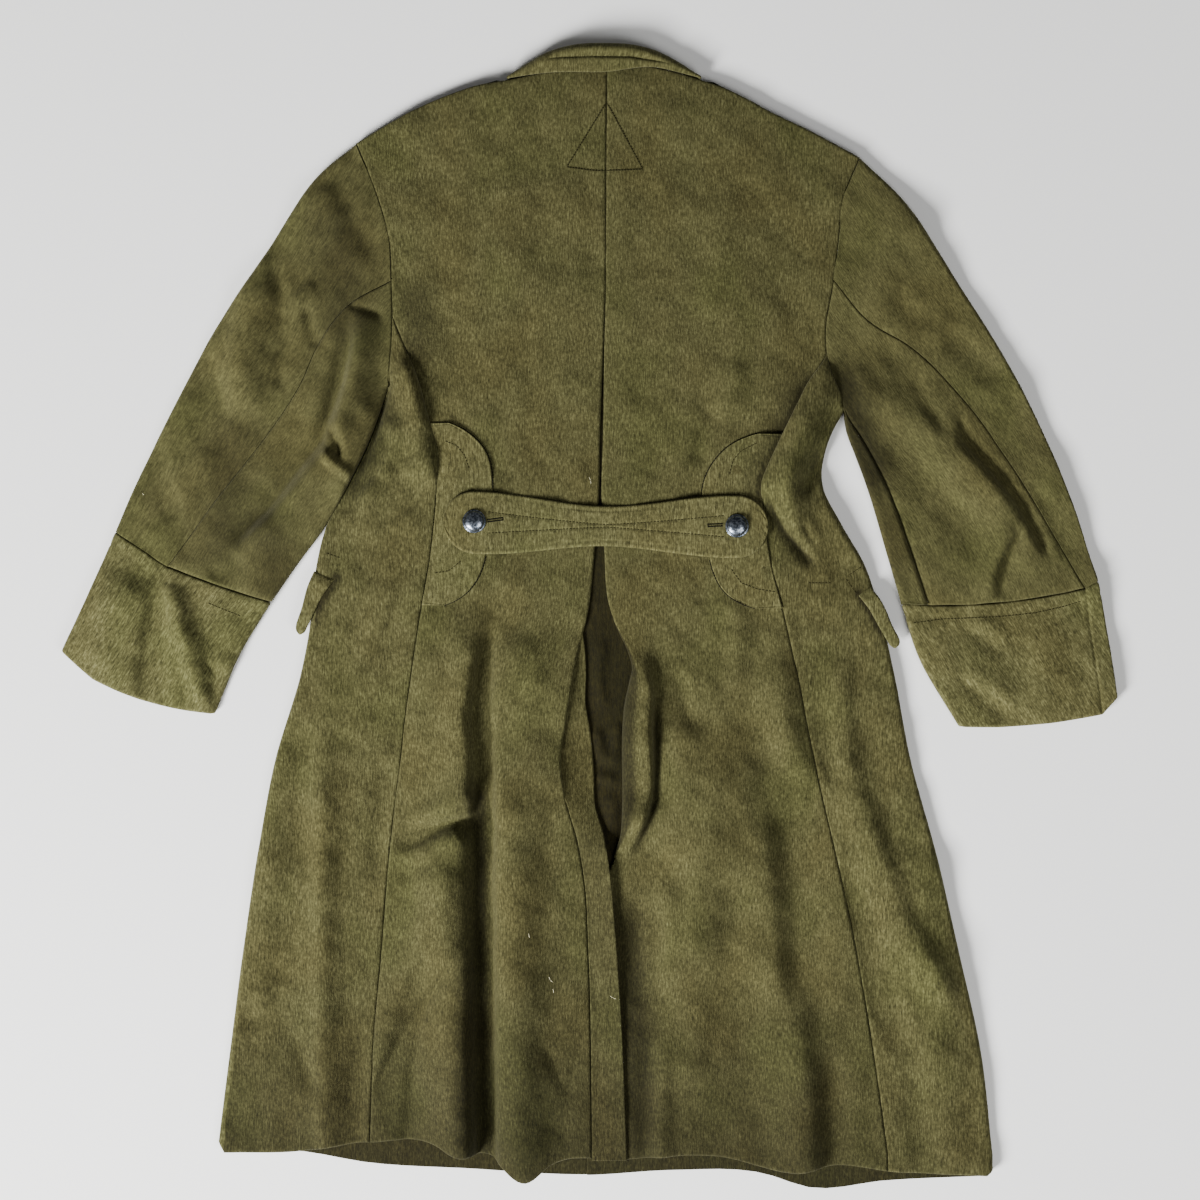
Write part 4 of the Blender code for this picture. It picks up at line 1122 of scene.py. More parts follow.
# The slit behind the crest of the right lip, and the edge of the strip that rolls over the right back
SLIT = [(65, -74), (64, -110), (65, -150), (65, -168), (63, -185), (58, -204), (50, -222), (36, -250)]
ROLL_EDGE = [(226, 252), (212, 215), (192, 175), (170, 122), (172, 96)]
RIGHT_LINES = SideLines(
    half=Half.RIGHT,
    edge=level_line("right_edge"),
    seam=level_line("right_seam"),
    armhole=[(269, 458), (253, 418), (248, 375), (243, 335), (235, 281), (236, 262), (255, 208)],
    fork=262,
    top=[
        (16, 551), (49, 551), (81, 545), (112, 535.5), (140, 525), (178, 505), (219, 485), (269, 458),
    ],
    centre=RIGHT_CENTRE,
    front_edge=-4,
    back=Relief(
        folds=[
            fold(((52, -50), (58, -200)), 8.0, 18),
            fold(((105, -290), (98, -450)), 6.0, 26),
            fold(((209, -430), (209, -557)), 8.0, 34),
            fold(((150, -80), (130, -230)), 5.0, 40),
        ],
        creases=[
            Crease(((57, -30), (56, -90), (54, -150), (50, -205), (36, -250)), 10.0, 5, 18),
            Crease(SLIT, -13.0, 5, 3),
            Crease(((92, -90), (90, -190), (80, -260)), 6.0, 26, 16),
            Crease(((61, -88), (72, -75), (88, -58)), -4.5, 5, 6),
            Crease(((88, -52), (93, -84), (102, -116)), -3.4, 7, 9),
            Crease(((78, 12), (66, -40), (60, -82)), -2.6, 6, 6),
            Crease(((136, -20), (148, -90), (165, -134), (206, -186)), -5.0, 26, 20),
            Crease(((196, -150), (205, -232), (216, -300), (222, -410)), -7.0, 13, 24),
            Crease(((198, -222), (206, -238), (224, -262)), -4.5, 6, 6),
            Crease(((203, -240), (214, -204), (226, -168)), -4.5, 5, 6),
            Crease(((47, -276), (44, -345), (49, -398)), -8.0, 9, 10),
            Crease(((73, -256), (78, -325), (76, -378)), 6.0, 14, 8),
            Crease(((75, -400), (71, -470), (70, -620)), 5.5, 10, 9),
            Crease(((56, -420), (54, -500), (52, -620)), -4.5, 8, 8),
            Crease(((207, -380), (214, -470), (220, -640)), 6.0, 12, 22),
            Crease(((238, -420), (241, -500), (243, -640)), -7.0, 16, 12),
            Crease(((124, -140), (112, -260), (104, -370)), 8.0, 26, 24),
            Crease(((184, -40), (194, -110), (214, -176)), 7.0, 16, 18),
            Crease(((168, -180), (178, -290), (186, -410)), 8.5, 16, 28),
            Crease(((150, -330), (158, -420), (150, -520)), -4.0, 20, 22),
            Crease(((140, 24), (148, -30), (140, -84)), 3.4, 12, 12),
            Crease(((127, 215), (122, 194), (109, 170), (103, 149)), -4.5, 9, 8),
            Crease(((150, 260), (140, 220), (122, 190)), 3.2, 12, 12),
            Crease(((120, 430), (130, 360), (118, 290)), 2.6, 26, 22),
            Crease(((200, 400), (190, 340), (205, 290)), -3.2, 18, 18),
        ],
        calm=True,
        # painted shade: beside the edge of the rolled strip, in the slit behind the lip, darker towards the
        # hem, and right of the facing
        shades=[
            Crease(ROLL_EDGE, 0.85, 14, 22),
            Crease(ROLL_EDGE, 0.5, 14, 6),
            Crease(SLIT, 1.0, 5, 3),
            Crease(((0, -566), (190, -566)), 0.78, 150, 150, False),
            Crease(((30, -250), (42, -330), (46, -420), (46, -560)), 0.8, 18, 40),
        ],
    ),
    strip=Relief(
        folds=[
            fold(((205, 190), (190, 110)), 8.0, 22),
            fold(((330, -260), (350, -480)), 5.0, 26),
        ],
        creases=[
            Crease(((248, 256), (216, 192), (194, 130), (204, 94), (238, 46)), 8.0, 15, 8),
            Crease(((176, 122), (192, 90), (226, 44)), -5.0, 4, 8),
            Crease(((190, 124), (206, 152), (236, 190)), 3.0, 9, 9),
            Crease(((236, 166), (223, 142), (208, 118)), -6.0, 7, 6),
            Crease(((208, 96), (218, 78), (226, 64)), -3.6, 5, 5),
            Crease(((250, 120), (258, 80), (270, 50)), 4.0, 10, 12),
            Crease(((251, -50), (254, -110), (257, -170)), 4.5, 10, 10),
            Crease(((232, -84), (236, -130), (244, -178)), -5.5, 7, 9),
            Crease(((252, -130), (275, -210), (307, -300), (342, -356), (384, -418)), 9.0, 14, 18),
            Crease(((246, -240), (274, -312), (298, -394), (324, -460)), -7.0, 12, 14),
            Crease(((274, -90), (290, -160), (310, -225)), -1.8, 12, 12),
            Crease(((320, -440), (328, -500), (334, -620)), -4.0, 14, 12),
        ],
        # painted shade: along the fold below the roll, the shadow beside the pocket flap, and slightly darker
        # towards the hem
        shades=[
            Crease(((172, 124), (184, 100), (194, 84), (210, 66), (232, 46)), 1.0, 2, 8),
            Crease(((267, 22), (278, 6), (287.5, -11), (300, -33)), 1.6, 4, 4, False),
            Crease(((230, -575), (440, -575)), 0.33, 110, 110, False),
        ],
    ),
    lip=[
        (21.5, -3), (29, -20), (36, -34), (41, -52), (38, -68), (34, -86), (31, -120), (31, -150),
        (31, -195), (29, -222), (21.5, -246),
    ],
    roll=[(114, 0), (134, 1), (228, 1), (260, 0)],
)

HALF_LINES = {lines.half: lines for lines in (LEFT_LINES, RIGHT_LINES)}

# The fronts below: their laps, their neck, and how the collar's leaf lifts them
LAP_TOP = (470 * MM, 515 * MM)
LAP_CLEAR = (-30 * MM, 5 * MM)
COLLAR_RAMP = (410 * MM, 450 * MM)
FRONT_NECK = (40.0, 465.0)
NECK_REACH = 90.0

# How the back rolls down at the shoulder, and the right strip rolls over the back at the waist
SHOULDER_ROLL = 16 * MM
SHOULDER_CLEAR = 1.2 * MM
ROLL_RISE, ROLL_OVER, ROLL_WIDTH = 7.5 * MM, 2 * MM, 36 * MM

# The lip that turns down into the pleat: its columns, how round it is, and where painted shade darkens it
LIP_COLUMNS = 9
LIP_ROUND = 0.6
LIP_SHADE = (0.25, 0.6)

# Where the seams reach the armhole and armpit, and where the centre seam is sewn above the waist
FORK_REACH = 12 * MM
ARMPIT_REACH = 25 * MM
SEWN_REACH = 60 * MM

# The widths that set how many columns the strip and the lower layer have
STRIP_WIDTH = 110 * MM
FRONT_WIDTH = 320 * MM

# How the rows even out from the hem, the shoulder and a sleeve's start
HEM_SHARE = 6 / 22
HEM_FADE = 2
TOP_FADE = 1.5
START_FADE = 3
ARM_SHARES = np.array([0.0, 0.17, 0.34, 0.51, 0.68, 0.83, 0.94, 1.0])


def bend(top: Array, low: Array, edge: Array) -> Array:
    """Points round a folded edge, from the top layer to the lower one.

    Args:
        top, low: where the two layers end.
        edge: the cloth's outermost place.

    Returns:
        The columns of points between the two layers.
    """
    angles = -half_turn(BEND_POINTS + 2)[1:-1]
    reach = edge - top[:, :2]
    length = np.linalg.norm(reach, axis=1, keepdims=True)
    reach = reach * (length - CLOTH / 2) / length
    xy = top[:, None, :2] + np.cos(angles)[None, :, None] * reach[:, None, :]
    middle, half = (top[:, 2] + low[:, 2]) / 2, (top[:, 2] - low[:, 2]) / 2
    return stack(xy, middle[:, None] + half[:, None] * np.sin(angles)[None, :])


def inset(edge: Array, neighbour: Array, rise: Array) -> Array:
    """Where a layer stops before a folded edge, so that the fold is round.

    Args:
        edge: the folded edge's places.
        neighbour: places on the layer, to which it is drawn in.
        rise: how far the layer lies above the lower one.

    Returns:
        The places where the layer stops.
    """
    run = neighbour - edge
    length = np.linalg.norm(run, axis=-1, keepdims=True)
    depth = np.minimum(CLOTH / 2 + rise[..., None] / 2, TURN_SHARE * length)
    return edge + run / length * depth


def under_collar(y: Array) -> Array:
    """How far the fronts are lifted by the collar's leaf below them."""
    return LAYER * ease(y, *COLLAR_RAMP)


def filled(grid: Array, rows: int) -> Array:
    """The grid with empty rows added at its end."""
    return np.concatenate([grid, np.full((rows - len(grid), *grid.shape[1:]), np.nan)])


@dataclass
class CoatHalf:
    """One half of the body: a back, and a front that folds over the side and lies below."""

    lines: SideLines
    back_cut: Cut
    front_cut: Cut

    def rows(self) -> tuple[Array, Array]:
        """The rows of the half's grids.

        Returns:
            The heights of the rows up to the fork, and the shares of those above it.
        """
        low = float(y_on(TOP_HEM, self.lines.seam[0][0] * MM))
        fork = self.lines.fork * MM
        below = low + (fork - low) * spaced(fork - low, STEP, last=False)
        above = self.lines.armhole[0][1] * MM - fork
        return below, spaced(above, STEP, first=False)[1:]

    def seam_rail(self, y: Array) -> Array:
        """The side-back seam, which ends on the armhole at the fork.

        Args:
            y: heights on the coat.

        Returns:
            The seam's places.
        """
        fork = self.lines.fork * MM
        close = ease(y, fork - FORK_REACH, fork)
        shift = x_on(self.lines.armhole, fork) - x_on(self.lines.seam, fork)
        return np.column_stack([x_on(self.lines.seam, y) + close * shift, y])

    def above_fork(self, top: float, shares: Array) -> Array:
        """The heights of the rows above the fork on a line that ends at the given height."""
        fork = self.lines.fork * MM
        return fork + (top * MM - fork) * shares

    def arm_rail(self, shares: Array) -> Array:
        """The armhole's places on the rows above the fork."""
        return rail(self.lines.armhole, self.above_fork(self.lines.armhole[0][1], shares))

    def hem_fade(self, below: Array) -> Array:
        """How far each row up to the fork follows the hem."""
        span = (self.lines.armpit - below[0]) * HEM_SHARE
        return np.clip(1 - (below - below[0]) / span, 0, 1) ** HEM_FADE

    def fit(self, xy: Array, hem: Line, top: Line, below: Array, shares: Array) -> Array:
        """Moves a panel's first row to the hem and its last to the top line, fading between.

        Args:
            xy: the panel's places.
            hem, top: the two lines.
            below, shares: the rows up to the fork and above it.

        Returns:
            The moved places.
        """
        knots = np.linspace(0, 1, len(ARM_SHARES))
        high = np.interp(shares, ARM_SHARES, knots) ** TOP_FADE
        low = np.concatenate([self.hem_fade(below), np.zeros(len(shares))])[:, None]
        high = np.concatenate([np.zeros(len(below)), high])[:, None]
        xy[..., 1] += low * (y_on(hem, xy[0, :, 0]) - xy[0, :, 1])
        xy[..., 1] += high * (y_on(top, xy[-1, :, 0]) - xy[-1, :, 1])
        return xy

    def back_places(self) -> Array:
        """The back's places, from the side seam and armhole to the centre.

        Returns:
            The places of all rows and columns.
        """
        lines = self.lines
        below, shares = self.rows()
        outer = np.vstack([self.seam_rail(below), self.arm_rail(shares)])
        neck = max(place[1] for place in lines.top)
        inner = rail(lines.centre, np.concatenate([below, self.above_fork(neck, shares)]))
        width = float(np.linalg.norm(outer - inner, axis=1).mean())
        xy = between(outer, inner, spaced(width, STEP))
        return self.fit(xy, TOP_HEM, lines.top, below, shares)

    def back_height(self, xy: Array) -> Array:
        """The back's heights: held flat at its seams, and rolled down to the front at the shoulder.

        Args:
            xy: the back's places.

        Returns:
            The heights of the middle of the cloth.
        """
        x, y = xy[..., 0], xy[..., 1]
        sewn = ease(y, WAIST_Y - SEWN_REACH, WAIST_Y)
        at_centre = 1 - sewn * (1 - round_off(lengths_back(xy, 1), SEAM_HOLD))
        z = self.lines.back.height(x, y, round_off(lengths_along(xy, 1), SEAM_HOLD) * at_centre)
        from_top = np.clip(1 - (y[-1] - y) / SHOULDER_ROLL, 0, 1)
        seat = FLOOR_LAYER + LAYER + SHOULDER_CLEAR + under_collar(y)
        return np.maximum(z - (z - seat) * (1 - np.sqrt(1 - from_top**2)), seat)

    def back(self, finish: Material) -> Piece:
        """Builds and dresses the back."""
        label = self.lines.half.label
        xy = self.back_places()
        grid = stack(xy, self.back_height(xy))
        # painted shade from the back's relief, and on the lip, darker as it turns down into the pleat
        inside = self.lines.back.shade(xy)
        if self.lines.lip:
            lip = self.turned_lip(grid[:, -1])
            deep = ease(np.linspace(0, 1, lip.shape[1]), *LIP_SHADE)
            grid = np.concatenate([grid, lip], axis=1)
            inside = np.concatenate([inside, np.broadcast_to(deep, lip.shape[:2])], axis=1)
        piece = Shell(grid, inside=inside).build(f"back_{label}_cloth", finish)
        return dress(piece, [f"front_{label}_cloth"])

    def turned_lip(self, ridge: Array) -> Array:
        """The cloth that rolls down into the open pleat.

        Args:
            ridge: the back's centre edge.

        Returns:
            The columns from the edge down to the inner cloth, empty above and below the open pleat.
        """
        y = ridge[:, 1]
        ends = [place[1] * MM for place in self.lines.lip]
        shares = np.linspace(0, 1, LIP_COLUMNS + 1)[None, 1:]
        x = ridge[:, :1] + (x_on(self.lines.lip, y)[:, None] - ridge[:, :1]) * shares
        z = FACING_TUCKED + (ridge[:, 2:] - FACING_TUCKED) * (1 - shares**2) ** LIP_ROUND
        columns = np.stack([x, np.broadcast_to(y[:, None], x.shape), z], axis=-1)
        columns[(y > max(ends)) | (y < min(ends))] = np.nan
        return columns

    def rolled(self, strip: Array) -> Array:
        """Rolls the side strip's seam up and over the back, where the side's roll says so.

        Args:
            strip: the strip's points.

        Returns:
            The moved points.
        """
        if not self.lines.roll:
            return strip
        levels, shares = np.array(self.lines.roll).T
        share = ease(np.interp(strip[:, 0, 1], levels * MM, shares), 0, 1)[:, None]
        share = share * (1 - ease(lengths_along(strip[..., :2], 1), 0, ROLL_WIDTH))
        over, rise = -self.lines.half.value * ROLL_OVER * share, ROLL_RISE * share
        return strip + np.stack([over, np.zeros(over.shape), rise], axis=-1)

    def side(self, below: Array, open_rows: int) -> tuple[Array, Array, Array]:
        """The side strip that lies on top, from the side-back seam to the folded edge.

        Args:
            below: the heights of the rows up to the fork.
            open_rows: how many of them lie below the armpit.

        Returns:
            The strip's points, the places where it ends, and the folded edge.
        """
        lines = self.lines
        seam, edge = self.seam_rail(below), rail(lines.edge, below)
        fade = ease(below, lines.armpit - ARMPIT_REACH, lines.armpit)
        edge[:, 0] += fade * (x_on(lines.armhole, lines.armpit) - x_on(lines.edge, lines.armpit))
        hold = round_off(np.linalg.norm(edge - seam, axis=1), SEAM_HOLD)
        rise = lines.strip.height(edge[:, 0], below, hold) - FLOOR_LAYER
        end = rail(lines.armhole, below)
        end[:open_rows] = inset(edge, seam, rise)[:open_rows]
        xy = between(seam, end, spaced(STRIP_WIDTH, STEP, last=False))
        xy[..., 1] += self.hem_fade(below)[:, None] * (y_on(TOP_HEM, xy[0, :, 0]) - xy[0, :, 1])
        hold = round_off(lengths_along(xy, 1), SEAM_HOLD)
        strip = self.rolled(stack(xy, lines.strip.height(xy[..., 0], xy[..., 1], hold)))
        return strip, end, edge

    def front_lift(self, x: Array, y: Array) -> Array:
        """How far a front is lifted off the floor: by the collar's leaf, and the right by the left.

        Args:
            x, y: places on the coat.

        Returns:
            The lift at each place.
        """
        if self.lines.half is Half.LEFT:
            return under_collar(y) * (1 - ease(x, *LAP_CLEAR))
        lap = LAYER * (1 - ease(x, *LAP_RAMP)) * (1 - ease(y, *LAP_TOP))
        return under_collar(y) + lap

    def lower(self, end: Array, below: Array, shares: Array) -> Array:
        """The front's lower layer, from the folded edge and armhole to the front edge.

        Args:
            end: the places where the side strip ends.
            below, shares: the rows up to the fork and above it.

        Returns:
            The layer's points.
        """
        lines = self.lines
        outer = np.vstack([end, self.arm_rail(shares)])
        inner_y = np.concatenate([below, self.above_fork(FRONT_NECK[1], shares)])
        inner = np.column_stack([np.full(len(inner_y), lines.front_edge * MM), inner_y])
        centre = CENTRE_X / MM
        shoulder = [place for place in lines.top if abs(place[0] - centre) > NECK_REACH]
        neck = [(centre + lines.half.value * FRONT_NECK[0], FRONT_NECK[1]), (lines.front_edge, FRONT_NECK[1])]
        xy = between(outer, inner, spaced(FRONT_WIDTH, COARSE_STEP, first=False))
        xy = self.fit(xy, FRONT_HEM, shoulder + neck, below, shares)
        return stack(xy, FLOOR_LAYER + self.front_lift(xy[..., 0], xy[..., 1]))

    def front(self, finish: Material) -> Piece:
        """Builds and dresses the front: side strip on top, folded edge, and lower layer."""
        lines = self.lines
        below, shares = self.rows()
        rows = int(np.searchsorted(below, lines.armpit)) + 1
        strip, end, edge = self.side(below, rows)
        lower = self.lower(end, below, shares)
        turned = bend(strip[:rows, -1], lower[:rows, 0], edge[:rows])
        grid = np.concatenate([filled(strip, len(lower)), filled(turned, len(lower)), lower], axis=1)
        inside = np.zeros(grid.shape[:2])
        # painted shade: the lower layer, the cloth's inner side, darkened in full as in the shade under the
        # backs' hems
        inside[:, -lower.shape[1] :] = 1.0
        # painted shade from the strip's relief
        inside[: len(strip), : strip.shape[1]] = lines.strip.shade(strip)
        piece = Shell(grid, inside=inside).build(f"front_{lines.half.label}_cloth", finish)
        rests = ["floor"] if lines.half is Half.LEFT else ["floor", "front_left_cloth"]
        return dress(piece, rests)


# Both halves, with the cut of each back and front
HALVES = [
    CoatHalf(LEFT_LINES, Cut(0.267, 1.12, 0.71), Cut(0.62, 1.10, 0.68)),
    CoatHalf(RIGHT_LINES, Cut(0.292, 1.12, 0.70), Cut(0.52, 1.11, 0.69)),
]


class Station(NamedTuple):
    """A section across a sleeve or cuff: both folded edges, the hind seam, and how far it bows."""

    outer: tuple[float, float]
    hind: tuple[float, float]
    inner: tuple[float, float]
    bow: float


class Rails(NamedTuple):
    """The lines that run down a sleeve or cuff, and how far each row between them bows to the hem."""

    outer: Array
    hind: Array
    inner: Array
    bow: Array


@dataclass
class Sleeve:
    """A two-piece sleeve pressed flat, with its deep cuff.

    seam_share places the front seam on the top layer, or on the lower one where seam_below is set.
    """

    lines: SideLines
    stations: Sequence[Station]
    cuff_stations: Sequence[Station]
    relief: Relief
    cuff_relief: Relief
    seam_share: float
    seam_below: bool
    warp: float
    top_cut: Cut
    under_cut: Cut
    cuff_cut: Cut
    hind_groove: Groove = Groove(1.1 * MM, 1.6 * MM)
    stitch_groove: Groove = Groove(0.7 * MM, 1.8 * MM)
    stitch_drop: float = 13 * MM

    @staticmethod
    def shares(stations: Sequence[Station]) -> Array:
        """Shares of the length of a sleeve or cuff at which its rows lie."""
        return spaced(math.dist(stations[0].outer, stations[-1].outer) * MM, STEP)

    @staticmethod
    def rails(stations: Sequence[Station], shares: Array) -> Rails:
        """The lines down a sleeve or cuff.

        Args:
            stations: the sections that they pass through.
            shares: shares of the length.

        Returns:
            The lines at these shares.
        """
        at = shares * (len(stations) - 1)
        outer, hind, inner = (through([station[i] for station in stations], at) for i in range(3))
        bow = curve(np.arange(len(stations)), [station.bow for station in stations], at) * MM
        return Rails(outer, hind, inner, bow)

    @staticmethod
    def spread(rails: Rails, first: Array, last: Array, start: Array) -> Array:
        """Columns between two rails that leave from start points and end evenly along the rails.

        Args:
            rails: all rails of the sleeve or cuff.
            first, last: the two rails.
            start: the first row's places.

        Returns:
            The places of all rows and columns.
        """
        steps = np.linalg.norm(np.diff(start, axis=0), axis=1)
        shares = np.concatenate([[0], np.cumsum(steps)]) / steps.sum()
        xy = between(first, last, shares)
        along = lengths_along(first[:, None, :], 0)[:, 0]
        fade = (1 - along / along[-1])[:, None, None] ** START_FADE
        xy = xy + (start - xy[0])[None] * fade
        outer, inner = rails.outer, rails.inner
        span = np.linalg.norm(inner - outer, axis=1)[:, None]
        chord = (inner - outer) / span
        share = np.clip(np.einsum("rck,rk->rc", xy - outer[:, None], chord) / span, 0, 1)
        down = np.where(chord[:, :1] > 0, 1, -1) * np.column_stack([chord[:, 1], -chord[:, 0]])
        return xy + (4 * share * (1 - share) * rails.bow[:, None])[..., None] * down[:, None, :]

    def layers(self, rails: Rails, top: Array, under: Array, low: Array) -> tuple[Array, Array]:
        """The places of both layers of a flat tube.

        Args:
            rails: the lines down it.
            top, under: the first row of the top layer, before and after the hind seam.
            low: the first row of the lower layer.

        Returns:
            The top layer from the outer edge, and the lower one from the inner edge.
        """
        hind = self.spread(rails, rails.outer, rails.hind, top)
        rest = self.spread(rails, rails.hind, rails.inner, under)[:, 1:]
        return np.concatenate([hind, rest], axis=1), self.spread(rails, rails.inner, rails.outer, low)

    def tube(self, upper: Array, lower: Array, relief: Relief) -> Array:
        """The ring of points of a flat tube.

        Args:
            upper, lower: the places of both layers.
            relief: the top layer's heights.

        Returns:
            The ring: top layer, inner fold, lower layer, outer fold.
        """
        outer, inner = upper[:, 0].copy(), upper[:, -1].copy()
        upper, lower = upper.copy(), lower.copy()
        hold = round_off(lengths_along(upper, 0), SEAM_HOLD)
        if relief is self.relief:
            hold = hold * round_off(lengths_back(upper, 0), SEAM_HOLD)
        rise = relief.height(upper[..., 0], upper[..., 1], hold) - FLOOR_LAYER
        near, far = TURN_COLUMNS, -1 - TURN_COLUMNS
        shares = np.arange(1, TURN_COLUMNS) / TURN_COLUMNS
        upper[:, 0] = lower[:, -1] = inset(outer, upper[:, near], rise[:, 0])
        upper[:, -1] = lower[:, 0] = inset(inner, upper[:, far], rise[:, -1])
        upper[:, 1:near] = between(upper[:, 0], upper[:, near], shares)
        upper[:, far + 1 : -1] = between(upper[:, far], upper[:, -1], shares)
        top = stack(upper, relief.height(upper[..., 0], upper[..., 1], hold))
        low = stack(lower, FLOOR_LAYER)
        round_inner = bend(top[:, -1], low[:, 0], inner)
        round_outer = bend(top[:, 0], low[:, -1], outer)[:, ::-1]
        return np.concatenate([top, round_inner, low, round_outer], axis=1)

    def places(self) -> tuple[Array, Array, int]:
        """The places of the sleeve, which leaves from the armhole.

        Returns:
            The top and lower layers' places, and the column of the hind seam.
        """
        rails = self.rails(self.stations, self.shares(self.stations))
        tip, armpit = self.lines.armhole[0][1] * MM, self.lines.armpit
        hind = self.stations[0].hind[1] * MM
        top_y = tip + (hind - tip) * spaced(tip - hind, STEP, first=False)
        under_y = hind + (armpit - hind) * spaced(hind - armpit, STEP, last=False)
        low_y = armpit + (tip - armpit) * spaced(tip - armpit, COARSE_STEP, False, False)
        starts = [rail(self.lines.armhole, y) for y in (top_y, under_y, low_y)]
        rails.hind[0] = starts[0][-1]
        return *self.layers(rails, *starts), len(top_y) - 1

    def build(self, finish: Material, cuff_finish: Material) -> list[Piece]:
        """Builds and dresses the two sleeve pieces and the cuff.

        Args:
            finish, cuff_finish: the wool of the sleeve and of the cuff.

        Returns:
            The three pieces.
        """
        upper, lower, hind = self.places()
        ring = self.tube(upper, lower, self.relief)
        columns = upper.shape[1]
        if self.seam_below:
            front = columns + BEND_POINTS + max(1, int(self.seam_share * lower.shape[1]))
        else:
            front = columns - 1 - int(round(self.seam_share * (columns - hind)))
        # painted shade from the sleeve's relief, in its folds and under the armpit
        shade = self.relief.shade(ring)
        around = [*range(front, ring.shape[1]), *range(hind + 1)]
        made = []
        for name, part, cut in (
            ("under", [*range(hind, front + 1)], self.under_cut),
            ("top", around, self.top_cut),
        ):
            shell = Shell(ring[:, part], warp=self.warp, inside=shade[:, part])
            piece = shell.build(f"sleeve_{name}_{self.lines.half.label}_cloth", finish)
            made.append(dress(piece, ["floor"]))
        return [*made, self.cuff(upper[-1], lower[-1], hind, cuff_finish)]

    def cuff(self, upper: Array, lower: Array, hind: int, finish: Material) -> Piece:
        """Builds and dresses the cuff, which leaves from the end of the sleeve.

        Args:
            upper, lower: the last row of the sleeve's layers.
            hind: the column of the hind seam.
            finish: its wool.

        Returns:
            The piece.
        """
        shares = self.shares(self.cuff_stations)
        rails = self.rails(self.cuff_stations, shares)
        rails = rails._replace(bow=rails.bow - rails.bow[0] * (1 - shares) ** START_FADE)
        layers = self.layers(rails, upper[: hind + 1], upper[hind:], lower)
        ring = self.tube(*layers, self.cuff_relief)
        down = ring[1] - ring[0]
        ring[0] += down / np.linalg.norm(down, axis=1, keepdims=True) * SEAM_GAP
        shell = Shell(ring, ring=True, grooves=self.cuff_grooves(ring, hind), warp=self.warp)
        piece = shell.build(f"cuff_{self.lines.half.label}_cloth", finish)
        return dress(piece, ["floor"])

    def cuff_grooves(self, ring: Array, hind: int) -> Array:
        """The sunk lines of a cuff: its hind seam, and the stitching below its upper seam.

        Args:
            ring: the cuff's points.
            hind: the column of the hind seam.

        Returns:
            How deep the cloth is sunk at each point.
        """
        across = np.linalg.norm(ring - ring[:, hind : hind + 1], axis=-1)
        stitched = self.stitch_groove.at(lengths_along(ring, 0) - self.stitch_drop)
        return np.maximum(self.hind_groove.at(across), stitched)


